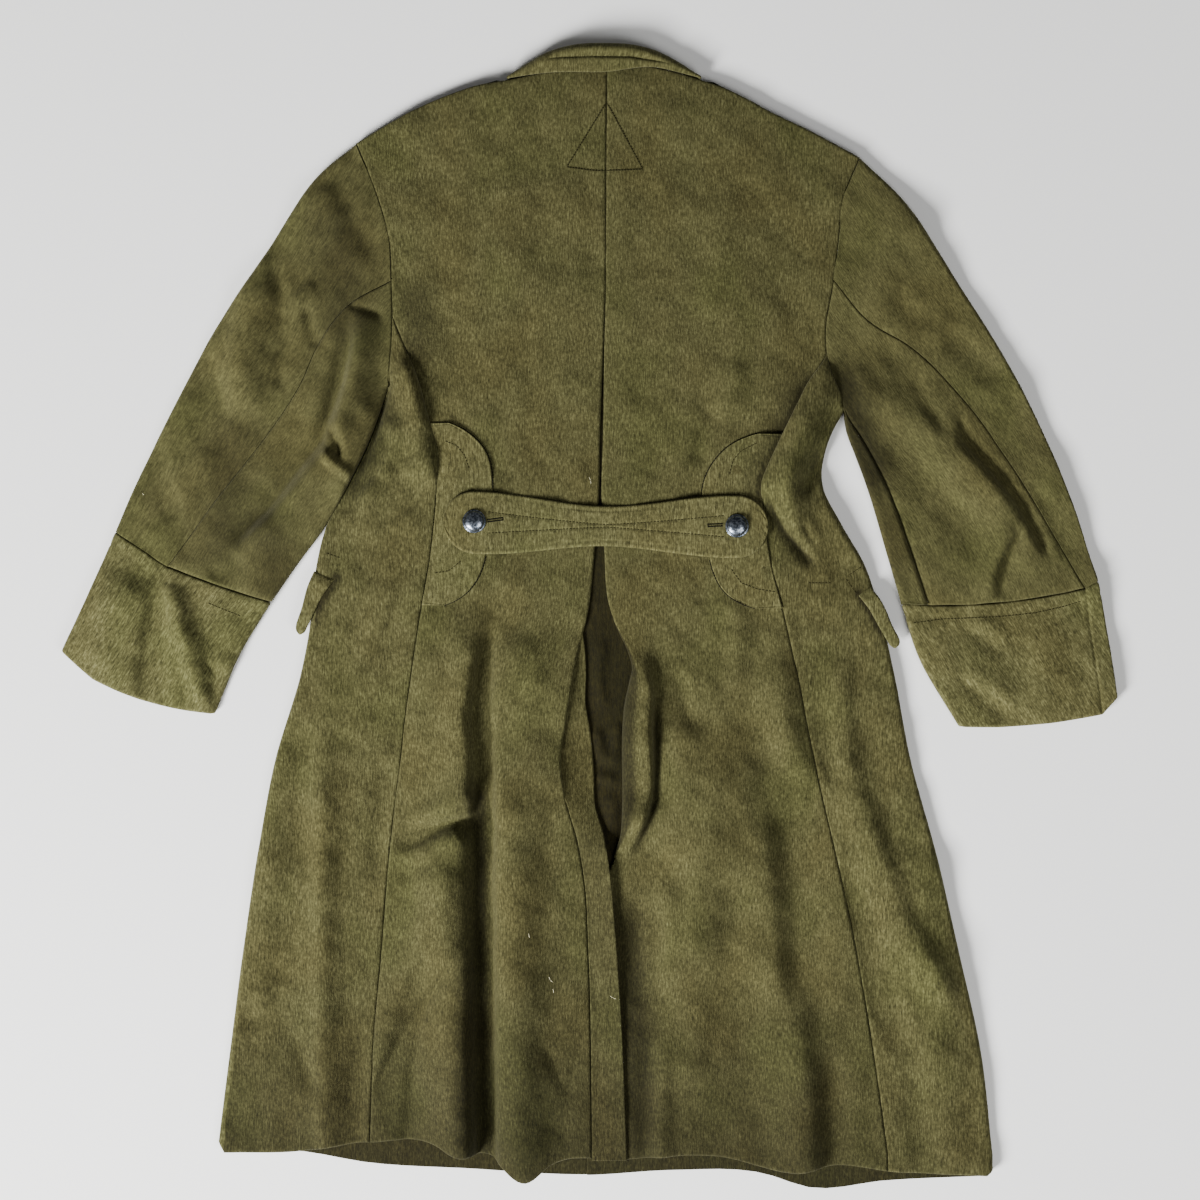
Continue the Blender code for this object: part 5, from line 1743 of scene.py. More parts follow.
LEFT_SLEEVE = Sleeve(
    lines=LEFT_LINES,
    stations=[
        Station((-235, 472), (-200, 335), (-203, 230), 0),
        Station((-278, 434), (-243, 310), (-208.6, 213), 0),
        Station((-329, 357), (-273, 271), (-220, 180), 0),
        Station((-377, 285), (-294, 225), (-239.4, 138), 0),
        Station((-417, 210), (-329, 174), (-266, 89), 1),
        Station((-454, 135), (-377, 114), (-293, 52), 3),
        Station((-476, 84), (-422, 52), (-320, 13), 4),
    ],
    cuff_stations=[
        Station((-476, 84), (-422, 52), (-320, 13), 4),
        Station((-504, 20), (-459, -2), (-351, -38), 8),
        Station((-530, -36), (-496, -56), (-377, -99), 12),
    ],
    relief=Relief(
        folds=[
            fold(((-243, 280), (-262, 180)), 5.0, 22),
            fold(((-262, 180), (-355, 75)), 8.0, 24),
            fold(((-329, 345), (-348, 220)), 6.0, 22),
            fold(((-290, 420), (-250, 380)), 6.0, 30),
        ],
        creases=[
            Crease(((-336, 352), (-350, 298), (-354, 195)), 7.0, 20, 14),
            Crease(((-318, 356), (-311, 320), (-306, 290)), -4.2, 9, 9),
            Crease(((-392, 268), (-372, 217), (-378, 155)), -9.0, 10, 18),
            Crease(((-438, 176), (-427, 135), (-412, 92)), -8.0, 7, 14),
            Crease(((-228, 312), (-231, 270), (-239, 232), (-256, 166), (-312, 98), (-372, 42)), 11.0, 18, 7),
            Crease(
                ((-245, 318), (-243, 280), (-252, 232), (-270, 177), (-326, 106), (-380, 54)), -12.0, 6, 9
            ),
            Crease(((-246, 311), (-226, 306), (-206, 299)), -4.0, 4, 4),
            Crease(((-258, 190), (-254, 172), (-253, 154)), -9.0, 5, 5),
            Crease(((-268, 164), (-256, 150), (-238, 138)), 6.4, 5, 5),
            Crease(((-286, 312), (-280, 290), (-274, 266)), -6.4, 5, 7),
            Crease(((-300, 290), (-308, 262), (-312, 225)), -2.4, 6, 7),
            Crease(((-274, 334), (-290, 318), (-312, 296)), 3.5, 6, 6),
            Crease(((-248, 400), (-232, 380), (-210, 362)), -3.4, 14, 12),
            Crease(((-270, 430), (-258, 404), (-246, 390)), 2.9, 10, 10),
            Crease(((-216, 226), (-228, 186), (-244, 146), (-262, 112)), 6.0, 9, 12),
            Crease(((-352, 170), (-382, 128), (-400, 96)), -3.5, 9, 10),
            Crease(((-384, 120), (-402, 82), (-410, 50)), -3.6, 7, 7),
            Crease(((-348, 60), (-362, 44), (-386, 40)), -4.8, 8, 8),
        ],
        # painted shade in the sleeve's broad folds
        shades=[
            Crease(((-352, 220), (-366, 120), (-374, 20)), 0.62, 26, 26),
            Crease(((-268, 430), (-246, 350), (-240, 250)), 0.65, 30, 34),
            Crease(((-338, 120), (-318, 66), (-306, 0)), 0.6, 24, 24),
        ],
    ),
    cuff_relief=Relief(
        folds=[],
        creases=[
            Crease(((-424, 44), (-413, -8), (-400, -50), (-386, -100)), 10.5, 14, 8),
            Crease(((-444, 40), (-452, -10), (-458, -50), (-464, -90)), 5.5, 8, 22),
            Crease(((-430, 30), (-432, -8), (-434, -40), (-430, -120)), -9.0, 8, 18),
            Crease(((-452, 44), (-482, -10), (-500, -60)), 7.0, 20, 30),
            Crease(((-378, -70), (-372, -82), (-364, -110)), -9.0, 16, 8, False),
            Crease(((-352, 0), (-366, -36), (-374, -60)), 3.0, 10, 12),
        ],
    ),
    seam_share=0.3,
    seam_below=True,
    warp=-30.0,
    top_cut=Cut(0.32, 0.46, 0.64),
    under_cut=Cut(0.18, 0.375, 0.67),
    cuff_cut=Cut(0.35, 0.139, 0.91),
)
RIGHT_SLEEVE = Sleeve(
    lines=RIGHT_LINES,
    stations=[
        Station((269, 458), (243, 335), (255, 208), 0),
        Station((317, 410), (277, 295), (257, 183), 0),
        Station((366, 335), (326, 264), (265, 160), 0),
        Station((413, 260), (376, 212), (275, 132), 1),
        Station((452, 185), (414, 160), (283, 107), 3),
        Station((483, 110), (449, 107), (292, 76), 6),
        Station((507, 34), (494, 29), (311, 11), 8),
    ],
    cuff_stations=[
        Station((507, 34), (494, 29), (311, 11), 8),
        Station((517, -20), (502, -28), (330, -46), 8),
        Station((527, -83), (512, -97), (369, -112), 6),
    ],
    relief=Relief(
        folds=[
            fold(((339, 195), (439, 60)), 3.0, 26),
            fold(((289, 225), (350, 160)), 2.0, 26),
            fold(((320, 385), (290, 340)), 6.0, 30),
        ],
        creases=[
            Crease(((366, 210), (374, 176), (405, 143), (432, 107), (462, 48)), -11.0, 5, 4),
            Crease(((350, 186), (366, 166), (398, 134), (426, 98), (452, 52)), 8.0, 5, 26),
            Crease(((272, 232), (300, 204), (360, 172)), 2.6, 14, 16),
            Crease(((318, 244), (334, 214), (356, 176)), -3.5, 9, 7),
            Crease(((300, 186), (318, 156), (346, 116), (398, 70)), -6.4, 18, 16),
            Crease(((434, 92), (418, 58), (407, 14)), -12.0, 5, 5),
            Crease(((422, 92), (405, 58), (395, 16)), 5.0, 5, 14),
            Crease(((350, 286), (380, 262), (412, 232)), -7.2, 10, 12),
            Crease(((300, 330), (322, 300), (352, 290)), -3.8, 12, 12),
            Crease(((290, 290), (300, 262), (318, 246)), -2.2, 10, 9),
            Crease(((266, 250), (276, 222), (272, 200)), 3.0, 10, 8),
            Crease(((440, 140), (466, 90), (480, 50)), -2.9, 8, 8),
            Crease(((400, 330), (430, 260), (452, 200)), 2.9, 18, 14),
        ],
        # painted shade under the armpit
        shades=[
            Crease(((255, 230), (266, 190), (278, 150)), 1.0, 22, 22, False),
            Crease(((270, 180), (286, 110), (312, 10)), 0.5, 20, 20),
        ],
    ),
    cuff_relief=Relief(
        folds=[],
        creases=[
            Crease(((372, -12), (390, -19), (410, -36)), -5.0, 4, 9),
            Crease(((376, -4), (398, -10), (420, -28)), 4.0, 9, 6),
            Crease(((362, -60), (390, -78), (424, -106)), -5.5, 4, 10),
            Crease(((370, -52), (398, -68), (430, -94)), 4.0, 12, 6),
            Crease(((452, 0), (458, -60), (444, -120)), 4.0, 24, 24),
        ],
    ),
    seam_share=0.12,
    seam_below=False,
    warp=30.0,
    top_cut=Cut(0.41, 0.49, 0.50),
    under_cut=Cut(0.16, 0.405, 0.62),
    cuff_cut=Cut(0.40, 0.136, 0.87),
)


@dataclass
class Collar:
    """The turned-down collar: its fall on the back, the roll, and the leaf under the fronts."""

    ends: tuple[float, float] = (-84, 110)
    fall: Line = ((-86, 536), (-44, 542), (16, 543), (64, 547.5), (91, 541.5), (112, 536))
    roll: Line = (
        (-86, 537), (-65, 551), (-44, 563), (-22, 569.5), (16, 572), (48, 569.4), (69, 563), (91, 551),
        (112, 537),
    )
    crease: Crease = Crease(((-66, 553), (-36, 556.6), (1, 558), (40, 557.6), (98, 549)), -2.6, 4.5, 1.8)
    leaf: float = 500
    leaf_columns: int = 6
    fall_width: float = 25 * MM
    fall_step: float = 1.2 * MM
    crown: float = 6.0 * MM
    crown_reach: float = 30 * MM
    wave_share: float = 0.4
    cut: Cut = Cut(0.195, 0.112, 0.76)

    def build(self, finish: Material) -> Piece:
        """Builds and dresses the collar."""
        low_end, high_end = self.ends[0] * MM, self.ends[1] * MM
        x = low_end + (high_end - low_end) * spaced(high_end - low_end, STEP)
        fall_y, roll_y = y_on(self.fall, x), y_on(self.roll, x)
        seat = lay(x, fall_y) + LAYER + SEAM_GAP
        depth = np.minimum((seat - FLOOR_LAYER) / 2 + CLOTH / 2, TURN_SHARE * (roll_y - fall_y))
        turn = np.column_stack([x, roll_y - depth])
        shares = spaced(self.fall_width, self.fall_step, last=False)
        xy = between(np.column_stack([x, fall_y]), turn, shares)
        crown = self.crown * ease(roll_y - fall_y, 0.0, self.crown_reach)
        z = seat[:, None] + crown[:, None] * shares[None]
        z = z + self.crease.at(xy[..., 0], xy[..., 1])
        top = stack(xy, z + self.wave_share * unevenness(xy[..., 0], xy[..., 1]))
        leaf = np.column_stack([x, np.full(len(x), self.leaf * MM)])
        low = stack(between(turn, leaf, np.linspace(0, 1, self.leaf_columns)), FLOOR_LAYER)
        edge = np.column_stack([x, roll_y])
        grid = np.concatenate([top, bend(top[:, -1], low[:, 0], edge), low], axis=1)
        piece = Shell(grid, rim=CUT_EDGE).build("collar_cloth", finish)
        return dress(piece, ["floor", "back_left_cloth", "back_right_cloth"])


@dataclass
class BackVent:
    """The open centre pleat: its flat inner cloth, and the left facing that laps over the right back.

    Going down, the facing emerges from under the left back, rises from the inner cloth on to the right
    back, and settles on it from a slight lift.
    """

    tuck: float = 12 * MM
    tuck_depth: float = 1.2 * LAYER
    clear: float = 0.35 * MM
    emerges: tuple[float, float] = (-160 * MM, -190 * MM)
    rises: tuple[float, float] = (-195 * MM, -240 * MM)
    settles: tuple[float, float] = (-260 * MM, -560 * MM)
    lift: float = 6 * MM
    facing_width: float = 30 * MM
    facing_step: float = 2 * MM
    facing_edge: Rim = Rim(0.5 * MM, 0.9 * MM)
    # painted shade on the facing where it rises on to the right back
    facing_shade: float = 0.42
    inlay_cut: Cut = Cut(0.12, 0.60)
    facing_cut: Cut = Cut(0.043, 0.53, 0.70)
    inlay_folds: Sequence[Crease] = (
        Crease(((12, -20), (8, -60), (14, -100)), 2.6, 5, 7),
        Crease(((6, -112), (10, -135), (18, -150)), 3.2, 5, 6),
        Crease(((26, -105), (26, -130), (20, -152)), 2.6, 5, 5),
        Crease(((6, -160), (18, -164), (26, -162)), 2.8, 4, 6),
        Crease(((20, -175), (21, -200), (19, -225)), 2.6, 6, 6),
        Crease(((19, 13), (8, 12), (-3, 11)), 0.9, 1.6, 1.6),
    )

    def inlay(self, finish: Material) -> Piece:
        """Builds and dresses the pleat's inner cloth, in the wool that is painted in shade."""
        left, right, low, high = (value * MM for value in INLAY_BOX)
        y = low + (high - low) * spaced(high - low, STEP)
        rails = [np.column_stack([np.full(len(y), x), y]) for x in (left, right)]
        xy = between(*rails, spaced(right - left, STEP))
        grid = stack(xy, INLAY_HEIGHT + total(self.inlay_folds, xy[..., 0], xy[..., 1]))
        piece = Shell(grid, rim=CUT_EDGE).build("pleat_inlay_cloth", finish)
        return dress(piece, ["front_left_cloth", "front_right_cloth"])

    def facing(self, finish: Material) -> Piece:
        """Builds and dresses the left facing."""
        y_low, y_high = FACING_RIGHT[-1][1] * MM, FACING_RIGHT[0][1] * MM
        y = y_low + (y_high - y_low) * spaced(y_high - y_low, STEP)
        tucked = ease(y, self.emerges[1], self.emerges[0])
        first = np.column_stack([x_on(LEFT_CENTRE, y) + self.clear - self.tuck * tucked, y])
        shares = spaced(self.facing_width, self.facing_step)
        xy = between(first, rail(FACING_RIGHT, y), shares)
        free = np.ones(xy.shape[:2])
        below = RIGHT_LINES.back.height(xy[..., 0], xy[..., 1], free) + LAYER
        near = LEFT_LINES.back.height(first[:, 0], y, free[:, 0]) - self.tuck_depth * tucked
        out = ease(-y, -self.rises[0], -self.rises[1])
        lift = self.lift * out * (1 - ease(-y, -self.settles[0], -self.settles[1]))
        far = FACING_TUCKED + (below[:, -1] + lift - FACING_TUCKED) * out
        z = near[:, None] + (far - near)[:, None] * shares[None]
        grid = stack(xy, np.maximum(z, FACING_TUCKED + (below - FACING_TUCKED) * out[:, None]))
        # painted shade: the facing's own where it rises on to the right back, and the left back's
        shade = np.maximum(self.facing_shade * out[:, None], LEFT_LINES.back.shade(xy))
        piece = Shell(grid, rim=self.facing_edge, inside=shade).build("vent_facing_cloth", finish)
        return dress(piece, ["pleat_inlay_cloth", "back_right_cloth"])

    def build(self, wool: Material, inside: Material) -> list[Piece]:
        """Builds and dresses the inlay and the facing."""
        return [self.inlay(inside), self.facing(wool)]


@dataclass(frozen=True)
class DomedButton:
    """A turned button: a flat back, a rolled rim, a shallow groove and a plain dome.

    The shares are of its radius, and groove_height is the share of the rim's height at the groove.
    """

    radius: float = 11.75 * MM
    dome: float = 4.8 * MM
    rim: float = 1.6 * MM
    flat_share: float = 0.86
    rim_share: float = 0.06
    groove_share: float = 0.88
    dome_share: float = 0.87
    groove_height: float = 0.9
    dome_start: float = 0.12
    rim_points: int = 7
    dome_points: int = 14
    sides: int = 96

    def profile(self) -> Array:
        """The button's section.

        Returns:
            The radius and height of each ring, from the flat back to near the top of the dome.
        """
        turn = half_turn(self.rim_points)
        roll = 1 - self.rim_share + self.rim_share * np.cos(turn)
        rim = np.column_stack([self.radius * roll, self.rim * (1 + np.sin(turn)) / 2])
        rise = np.linspace(self.dome_start, math.pi / 2, self.dome_points)[:-1]
        foot = self.rim * self.groove_height
        shares = self.flat_share, self.groove_share, self.dome_share
        back, groove, bowl = (self.radius * share for share in shares)
        dome = np.column_stack([bowl * np.cos(rise), foot + self.dome * np.sin(rise)])
        return np.vstack([(back, 0.0), rim, (groove, foot), dome])

    def build(self, half: Half, place: Array, finish: Material) -> Piece:
        """Builds the button of one half.

        Args:
            half: the half of the coat.
            place: where the middle of its back lies.
            finish: its metal.

        Returns:
            The piece, which stands for the button's solid.
        """
        turns = np.linspace(0, 2 * math.pi, self.sides, endpoint=False)
        profile = self.profile()
        around = np.column_stack([np.cos(turns), np.sin(turns)])
        rings = [stack(radius * around, height) for radius, height in profile]
        top = self.rim * self.groove_height + self.dome
        points = np.concatenate([np.array([[0, 0, 0], [0, 0, top]]), *rings]) + place
        last = 2 + (len(rings) - 1) * self.sides
        faces = []
        for j in range(self.sides):
            ahead = (j + 1) % self.sides
            faces.append((0, 2 + ahead, 2 + j))
            faces.append((1, last + j, last + ahead))
            for start in range(2, last, self.sides):
                end = start + self.sides
                faces.append((start + j, start + ahead, end + ahead, end + j))
        piece = link(f"belt_button_{half.label}_metal", smooth_mesh("button", points, faces), finish)
        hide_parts(f"belt_button_{half.label}")
        LOG.info("%s: %d faces", piece.name, len(faces))
        return piece


class BeltEnd(NamedTuple):
    """One end of the half belt: its patch's high and low ends and depth, and its button's place.

    square says how square the patch's outline is above, below and inwards. hidden is the depth below
    which its upper stitching lies under the rolled side strip.
    """

    high: float
    low: float
    depth: float
    square: tuple[float, float, float]
    button: tuple[float, float]
    hidden: float


BELT_ENDS = {
    Half.LEFT: BeltEnd(0.195, 0.007, 0.056, (3.2, 4.4, 2.2), (-0.1165, 0.0935), 0.0),
    Half.RIGHT: BeltEnd(0.184, 0.004, 0.060, (6.0, 6.0, 2.2), (0.1457, 0.0890), ROLL_OVER + 1.5 * MM),
}


@dataclass
class HalfBelt:
    """The buttoned half belt, the half-round patches under its ends, and its two domed buttons."""

    ends: tuple[float, float] = (-147.5 * MM, 177.0 * MM)
    middle_line: Line = ((-145, 93.5), (15, 89), (172.5, 88.5))
    half_width: tuple[float, float] = (20.2 * MM, 31.5 * MM)
    waist_reach: float = 125 * MM
    step: float = 30 * MM
    columns: int = 190
    tip: float = 0.9995
    row_width: float = 50 * MM
    row_step: float = 1.0 * MM
    edge: Rim = Rim(2.4 * MM, 2.8 * MM)
    inner_stitch: tuple[float, float] = (1.2 * MM, 10.6 * MM)
    inner_reach: float = 118 * MM
    inner_bend: float = 1.15
    inner_groove: Groove = Groove(0.5 * MM, 1.1 * MM)
    inner_points: int = 60
    border: float = 5.5 * MM
    border_groove: Groove = Groove(0.6 * MM, 1.2 * MM)
    patch_ends: float = 0.97
    patch_rows: int = 110
    patch_step: float = 1.4 * MM
    patch_edge: Rim = Rim(0.8 * MM, 1.2 * MM)
    patch_border: float = 3.2 * MM
    patch_groove: Groove = Groove(0.4 * MM, 1.0 * MM)
    sewn_points: int = 160
    sewn_out: float = 0.5 * MM
    sewn_clear: float = 2 * MM
    button: DomedButton = DomedButton()
    belt_cut: Cut = Cut(0.3245, 0.063, 0.84)
    patch_cut: Cut = Cut(0.057, 0.19, 0.80)

    @property
    def middle(self) -> float:
        """Where the belt's middle lies across the coat."""
        return sum(self.ends) / 2

    @property
    def back_top(self) -> float:
        """The height of what lies on the level back at the waist, with a seam's gap."""
        return CENTRE_HEIGHT + CLOTH / 2 + SEAM_GAP

    @property
    def belt_top(self) -> float:
        """The height of the belt's upper face over a patch."""
        return self.back_top + PATCH_CLOTH + SEAM_GAP + BELT_CLOTH

    def width_at(self, x: Array) -> Array:
        """Half the belt's width: narrow in the middle, wide at its ends, and round at the tips.

        Args:
            x: places across the coat.

        Returns:
            The half width at each place.
        """
        away = np.abs(x - self.middle)
        slim, broad = self.half_width
        width = slim + (broad - slim) * ease(away, 0.0, self.waist_reach)
        into_end = np.clip(away - (self.ends[1] - self.middle - broad), 0, broad)
        return width * np.sqrt(1 - (into_end / broad) ** 2)

    def inner_line(self, x: Array) -> Array:
        """How far the inner stitching lies from the belt's middle line.

        Args:
            x: places across the coat.

        Returns:
            The distance at each place.
        """
        near, far = self.inner_stitch
        away = np.abs(x - self.middle) / self.inner_reach
        return near + (far - near) * np.clip(away, 0, 1) ** self.inner_bend

    def belt(self, finish: Material) -> Piece:
        """Builds and dresses the half belt, sunk along its stitching."""
        half = (self.ends[1] - self.ends[0]) / 2
        x = self.middle + half * self.tip * np.sin(half_turn(self.columns))
        y, width = y_on(self.middle_line, x), self.width_at(x)
        low, high = np.column_stack([x, y - width]), np.column_stack([x, y + width])
        xy = between(low, high, spaced(self.row_width, self.row_step))
        left = x_on(LEFT_LINES.seam, WAIST_Y) + BELT_ENDS[Half.LEFT].depth
        right = x_on(RIGHT_LINES.seam, WAIST_Y) - BELT_ENDS[Half.RIGHT].depth
        over = np.maximum(1 - ease(x, left, left + self.step), ease(x, right - self.step, right))
        z = self.back_top + BELT_CLOTH / 2 + (PATCH_CLOTH + SEAM_GAP) * over
        shell = Shell(stack(xy, z[:, None]), BELT_CLOTH, self.edge)
        inner = self.inner_groove.at(np.abs(xy[..., 1] - y[:, None]) - self.inner_line(x)[:, None])
        inner = inner * (np.abs(x - self.middle) < self.inner_reach)[:, None]
        border = self.border_groove.at(shell.edge_distance() - self.border)
        shell.grooves = np.maximum(inner, border)
        piece = shell.build("half_belt_cloth", finish)
        return dress(piece, ["belt_patch_left_cloth", "belt_patch_right_cloth"])

    def patch_outline(self, half: Half, count: int) -> tuple[Array, Array, Array]:
        """A patch's outline.

        Args:
            half: the half of the coat.
            count: how many rows it has, from its lower to its upper end.

        Returns:
            The seam's place across, the height and the patch's reach in from the seam, for each row.
        """
        end = BELT_ENDS[half]
        above, below, inward = end.square
        turn = self.patch_ends * np.sin(half_turn(count))
        y = (end.high + end.low) / 2 + (end.high - end.low) / 2 * turn
        reach = end.depth * (1 - np.abs(turn) ** np.where(turn > 0, above, below)) ** (1 / inward)
        return x_on(HALF_LINES[half].seam, y), y, reach

    def patch_edges(self, half: Half) -> list[Line]:
        """Where a patch is sewn down, just outside its round edge, where its painted shadow line also runs.

        Args:
            half: the half of the coat.

        Returns:
            The lines below and above the belt, in millimetres.
        """
        seam, y, reach = self.patch_outline(half, self.sewn_points)
        places = np.column_stack([seam - half.value * (reach + self.sewn_out), y])
        middle = y_on(self.middle_line, places[:, 0])
        clear = self.half_width[1] + self.sewn_clear
        shows = reach > BELT_ENDS[half].hidden
        return [part / MM for part in (places[y < middle - clear], places[(y > middle + clear) & shows])]

    def patch(self, half: Half, finish: Material) -> Piece:
        """Builds and dresses one patch, sunk along the stitching at its round edge.

        Args:
            half: the half of the coat.
            finish: its wool.

        Returns:
            The piece.
        """
        seam, y, reach = self.patch_outline(half, self.patch_rows)
        first = np.column_stack([seam, y])
        last = np.column_stack([seam - half.value * reach, y])
        xy = between(first, last, spaced(self.row_width, self.patch_step))
        shell = Shell(stack(xy, self.back_top + PATCH_CLOTH / 2), PATCH_CLOTH, self.patch_edge)
        shell.grooves = self.patch_groove.at(shell.edge_distance() - self.patch_border)
        # painted shade from the back's relief, beside the edge of the rolled strip
        shell.inside = HALF_LINES[half].back.shade(xy)
        piece = shell.build(f"belt_patch_{half.label}_cloth", finish)
        return dress(piece, [f"back_{half.label}_cloth"])

    def bow_lines(self) -> list[Line]:
        """The two lines of stitching that meet in the belt's middle.

        Returns:
            The lines, in millimetres.
        """
        x = self.middle + np.linspace(-self.inner_reach, self.inner_reach, self.inner_points)
        middle, off = y_on(self.middle_line, x), self.inner_line(x)
        return [np.column_stack([x, middle + side * off]) / MM for side in (1, -1)]

    def build(self, wool: Material, metal: Material) -> list[Piece]:
        """Builds the patches, the belt and the buttons.

        Args:
            wool: the finish of the cloth.
            metal: the finish of the buttons.

        Returns:
            The cloth pieces.
        """
        made = [self.patch(half, wool) for half in Half]
        made.append(self.belt(wool))
        for half in Half:
            place = np.array([*BELT_ENDS[half].button, self.belt_top + SEAM_GAP])
            self.button.build(half, place, metal)
        return made


@dataclass
class PocketFlap:
    """The end of a pocket flap that shows beside the folded edge."""

    half: Half
    outer: Line
    inner: Line
    rise: Sequence[float] = (3.3, 3.4, 3.2, 2.2, 1.8, 1.5)
    length: float = 68 * MM
    length_step: float = 1.6 * MM
    width: float = 16 * MM
    width_step: float = 1.2 * MM
    root: tuple[float, float] = (2.2 * MM, 9 * MM)
    edge: Rim = Rim(1.2 * MM, 2.4 * MM)
    cut: Cut = Cut(0.020, 0.065, 0.75)

    def build(self, finish: Material) -> Piece:
        """Builds and dresses the flap."""
        at = spaced(self.length, self.length_step) * (len(self.rise) - 1)
        rails = [through(line, at) for line in (self.inner, self.outer)]
        xy = between(*rails, spaced(self.width, self.width_step))
        z = lay(*rails[0][0]) + curve(np.arange(len(self.rise)), np.array(self.rise) * MM, at)
        sunk, reach = self.root
        grooves = sunk * (1 - ease(lengths_along(xy, 0), 0.0, reach))
        shell = Shell(stack(xy, z[:, None]), FLAP_CLOTH, self.edge, grooves=grooves)
        piece = shell.build(f"pocket_flap_{self.half.label}_cloth", finish)
        return dress(piece, [f"front_{self.half.label}_cloth"])


FLAPS = [
    PocketFlap(
        Half.LEFT,
        outer=[(-277, 44), (-284, 27), (-289, 8), (-294.5, -8), (-295, -15), (-292, -19.6)],
        inner=[(-257, 35), (-268, 20), (-277, 2), (-283.5, -11), (-286.5, -17), (-290.5, -19.6)],
    ),
    PocketFlap(
        Half.RIGHT,
        outer=[(280, 28), (292, 11), (301, -10), (308, -23), (308.5, -29), (305, -33)],
        inner=[(267, 20), (278, 6), (287.5, -11), (297, -27), (300, -31), (303.5, -33)],
    ),
]


@dataclass
class Stitching:
    """Thread on the coat's upper side, laid on whatever cloth is below it.

    A buttonhole has hole_stitches on each side of its slit, between hole_reach from it, and a bar.
    """

    cloth: Sequence[Piece]
    radius: float = 0.45 * MM
    length: float = 2.9 * MM
    gap: float = 0.5 * MM
    sink: float = 0.3 * MM
    crown: float = 0.1 * MM
    sides: int = 6
    hole_stitches: int = 22
    hole_reach: tuple[float, float] = (0.35 * MM, 1.9 * MM)
    bar: float = 2.0 * MM
    above: float = 0.2

    def __post_init__(self) -> None:
        """Reads the surfaces that thread can lie on."""
        points, faces = [], []
        for piece in self.cloth:
            start = len(points)
            points += [vertex.co.copy() for vertex in piece.data.vertices]
            faces += [[start + corner for corner in face.vertices] for face in piece.data.polygons]
        self.tree = BVHTree.FromPolygons(points, faces)

    def on_cloth(self, x: float, y: float) -> Array:
        """Finds the uppermost cloth.

        Args:
            x, y: a place on the coat.

        Returns:
            The point on the cloth, or on the floor where there is none.
        """
        place = Vector((x + COAT_PLACE[0], y + COAT_PLACE[1], self.above))
        hit = self.tree.ray_cast(place, Vector((0, 0, -1)))[0]
        return np.array([x, y, hit.z if hit else 0.0])

    def stitches(self, line: Line) -> list[tuple[Array, Array]]:
        """Cuts a line into stitches.

        Args:
            line: the line, in millimetres.

        Returns:
            The two ends of each stitch, on the cloth.
        """
        places = np.array(line, float) * MM
        along = np.concatenate([[0], np.cumsum(np.linalg.norm(np.diff(places, axis=0), axis=1))])
        count = max(1, int(round(along[-1] / (self.length + self.gap))))
        pitch = along[-1] / count
        reach = np.array([-0.5, 0.5]) * self.length / (self.length + self.gap)
        made = []
        for index in range(count):
            x, y = (np.interp(pitch * (index + 0.5 + reach), along, places[:, axis]) for axis in (0, 1))
            made.append(tuple(self.on_cloth(x[i], y[i]) for i in (0, 1)))
        return made

    def thread(self, ends: Sequence[tuple[Array, Array]]) -> tuple[Array, list[tuple[int, ...]]]:
        """Rounded threads whose ends dip into the cloth.

        Args:
            ends: the two ends of each thread.

        Returns:
            The points and the faces.
        """
        turns = np.linspace(0, 2 * math.pi, self.sides, endpoint=False)
        # Each ring's share of the length, share of the radius, and lift
        rings = (
            (0.0, 0.45, -self.sink),
            (0.15, 0.9, 0.0),
            (0.5, 1.0, self.crown),
            (0.85, 0.9, 0.0),
            (1.0, 0.45, -self.sink),
        )
        points, faces = [], []
        for first, last in ends:
            run = last - first
            across = np.array([-run[1], run[0], 0.0]) / max(np.hypot(run[0], run[1]), 1e-9)
            around = np.cos(turns)[:, None] * across + np.sin(turns)[:, None] * np.array([0, 0, 1.0])
            start = len(points) * self.sides
            for share, size, lift in rings:
                centre = first + run * share + np.array([0, 0, lift])
                points.append(centre + around * self.radius * size)
            end = start + (len(rings) - 1) * self.sides
            for low in range(start, end, self.sides):
                for side in range(self.sides):
                    ahead = (side + 1) % self.sides
                    faces.append((low + side, low + ahead, low + self.sides + ahead, low + self.sides + side))
            faces += [tuple(range(cap, cap + self.sides)) for cap in (start, end)]
        return np.concatenate(points), faces

    def lay_down(self, name: str, ends: Sequence[tuple[Array, Array]], finish: Material) -> Piece:
        """Makes one piece of threads and reports it.

        Args:
            name: the piece's name.
            ends: the two ends of each thread.
            finish: the thread's material.

        Returns:
            The piece.
        """
        piece = link(name, smooth_mesh(name, *self.thread(ends)), finish)
        LOG.info("%s: %d stitches", name, len(ends))
        return piece

    def sew(self, name: str, lines: Sequence[Line], finish: Material) -> Piece:
        """Sews one piece of stitching along lines."""
        return self.lay_down(name, [stitch for line in lines for stitch in self.stitches(line)], finish)

    def buttonhole(self, name: str, line: Line, finish: Material) -> Piece:
        """Works a buttonhole: close stitches across both sides of its slit, and a bar at its end.

        Args:
            name: the piece's name.
            line: the slit, in millimetres.
            finish: the thread's material.

        Returns:
            The piece.
        """
        first, last = (np.array(place) * MM for place in line)
        run = last - first
        along = run / np.linalg.norm(run)
        across = np.array([-along[1], along[0]])
        ends = []
        for share in np.linspace(0, 1, self.hole_stitches):
            for side in (-1, 1):
                places = [first + run * share + across * side * off for off in self.hole_reach]
                ends.append(tuple(self.on_cloth(*place) for place in places))
        ends.append(tuple(self.on_cloth(*(last + across * off)) for off in (-self.bar, self.bar)))
        return self.lay_down(name, ends, finish)


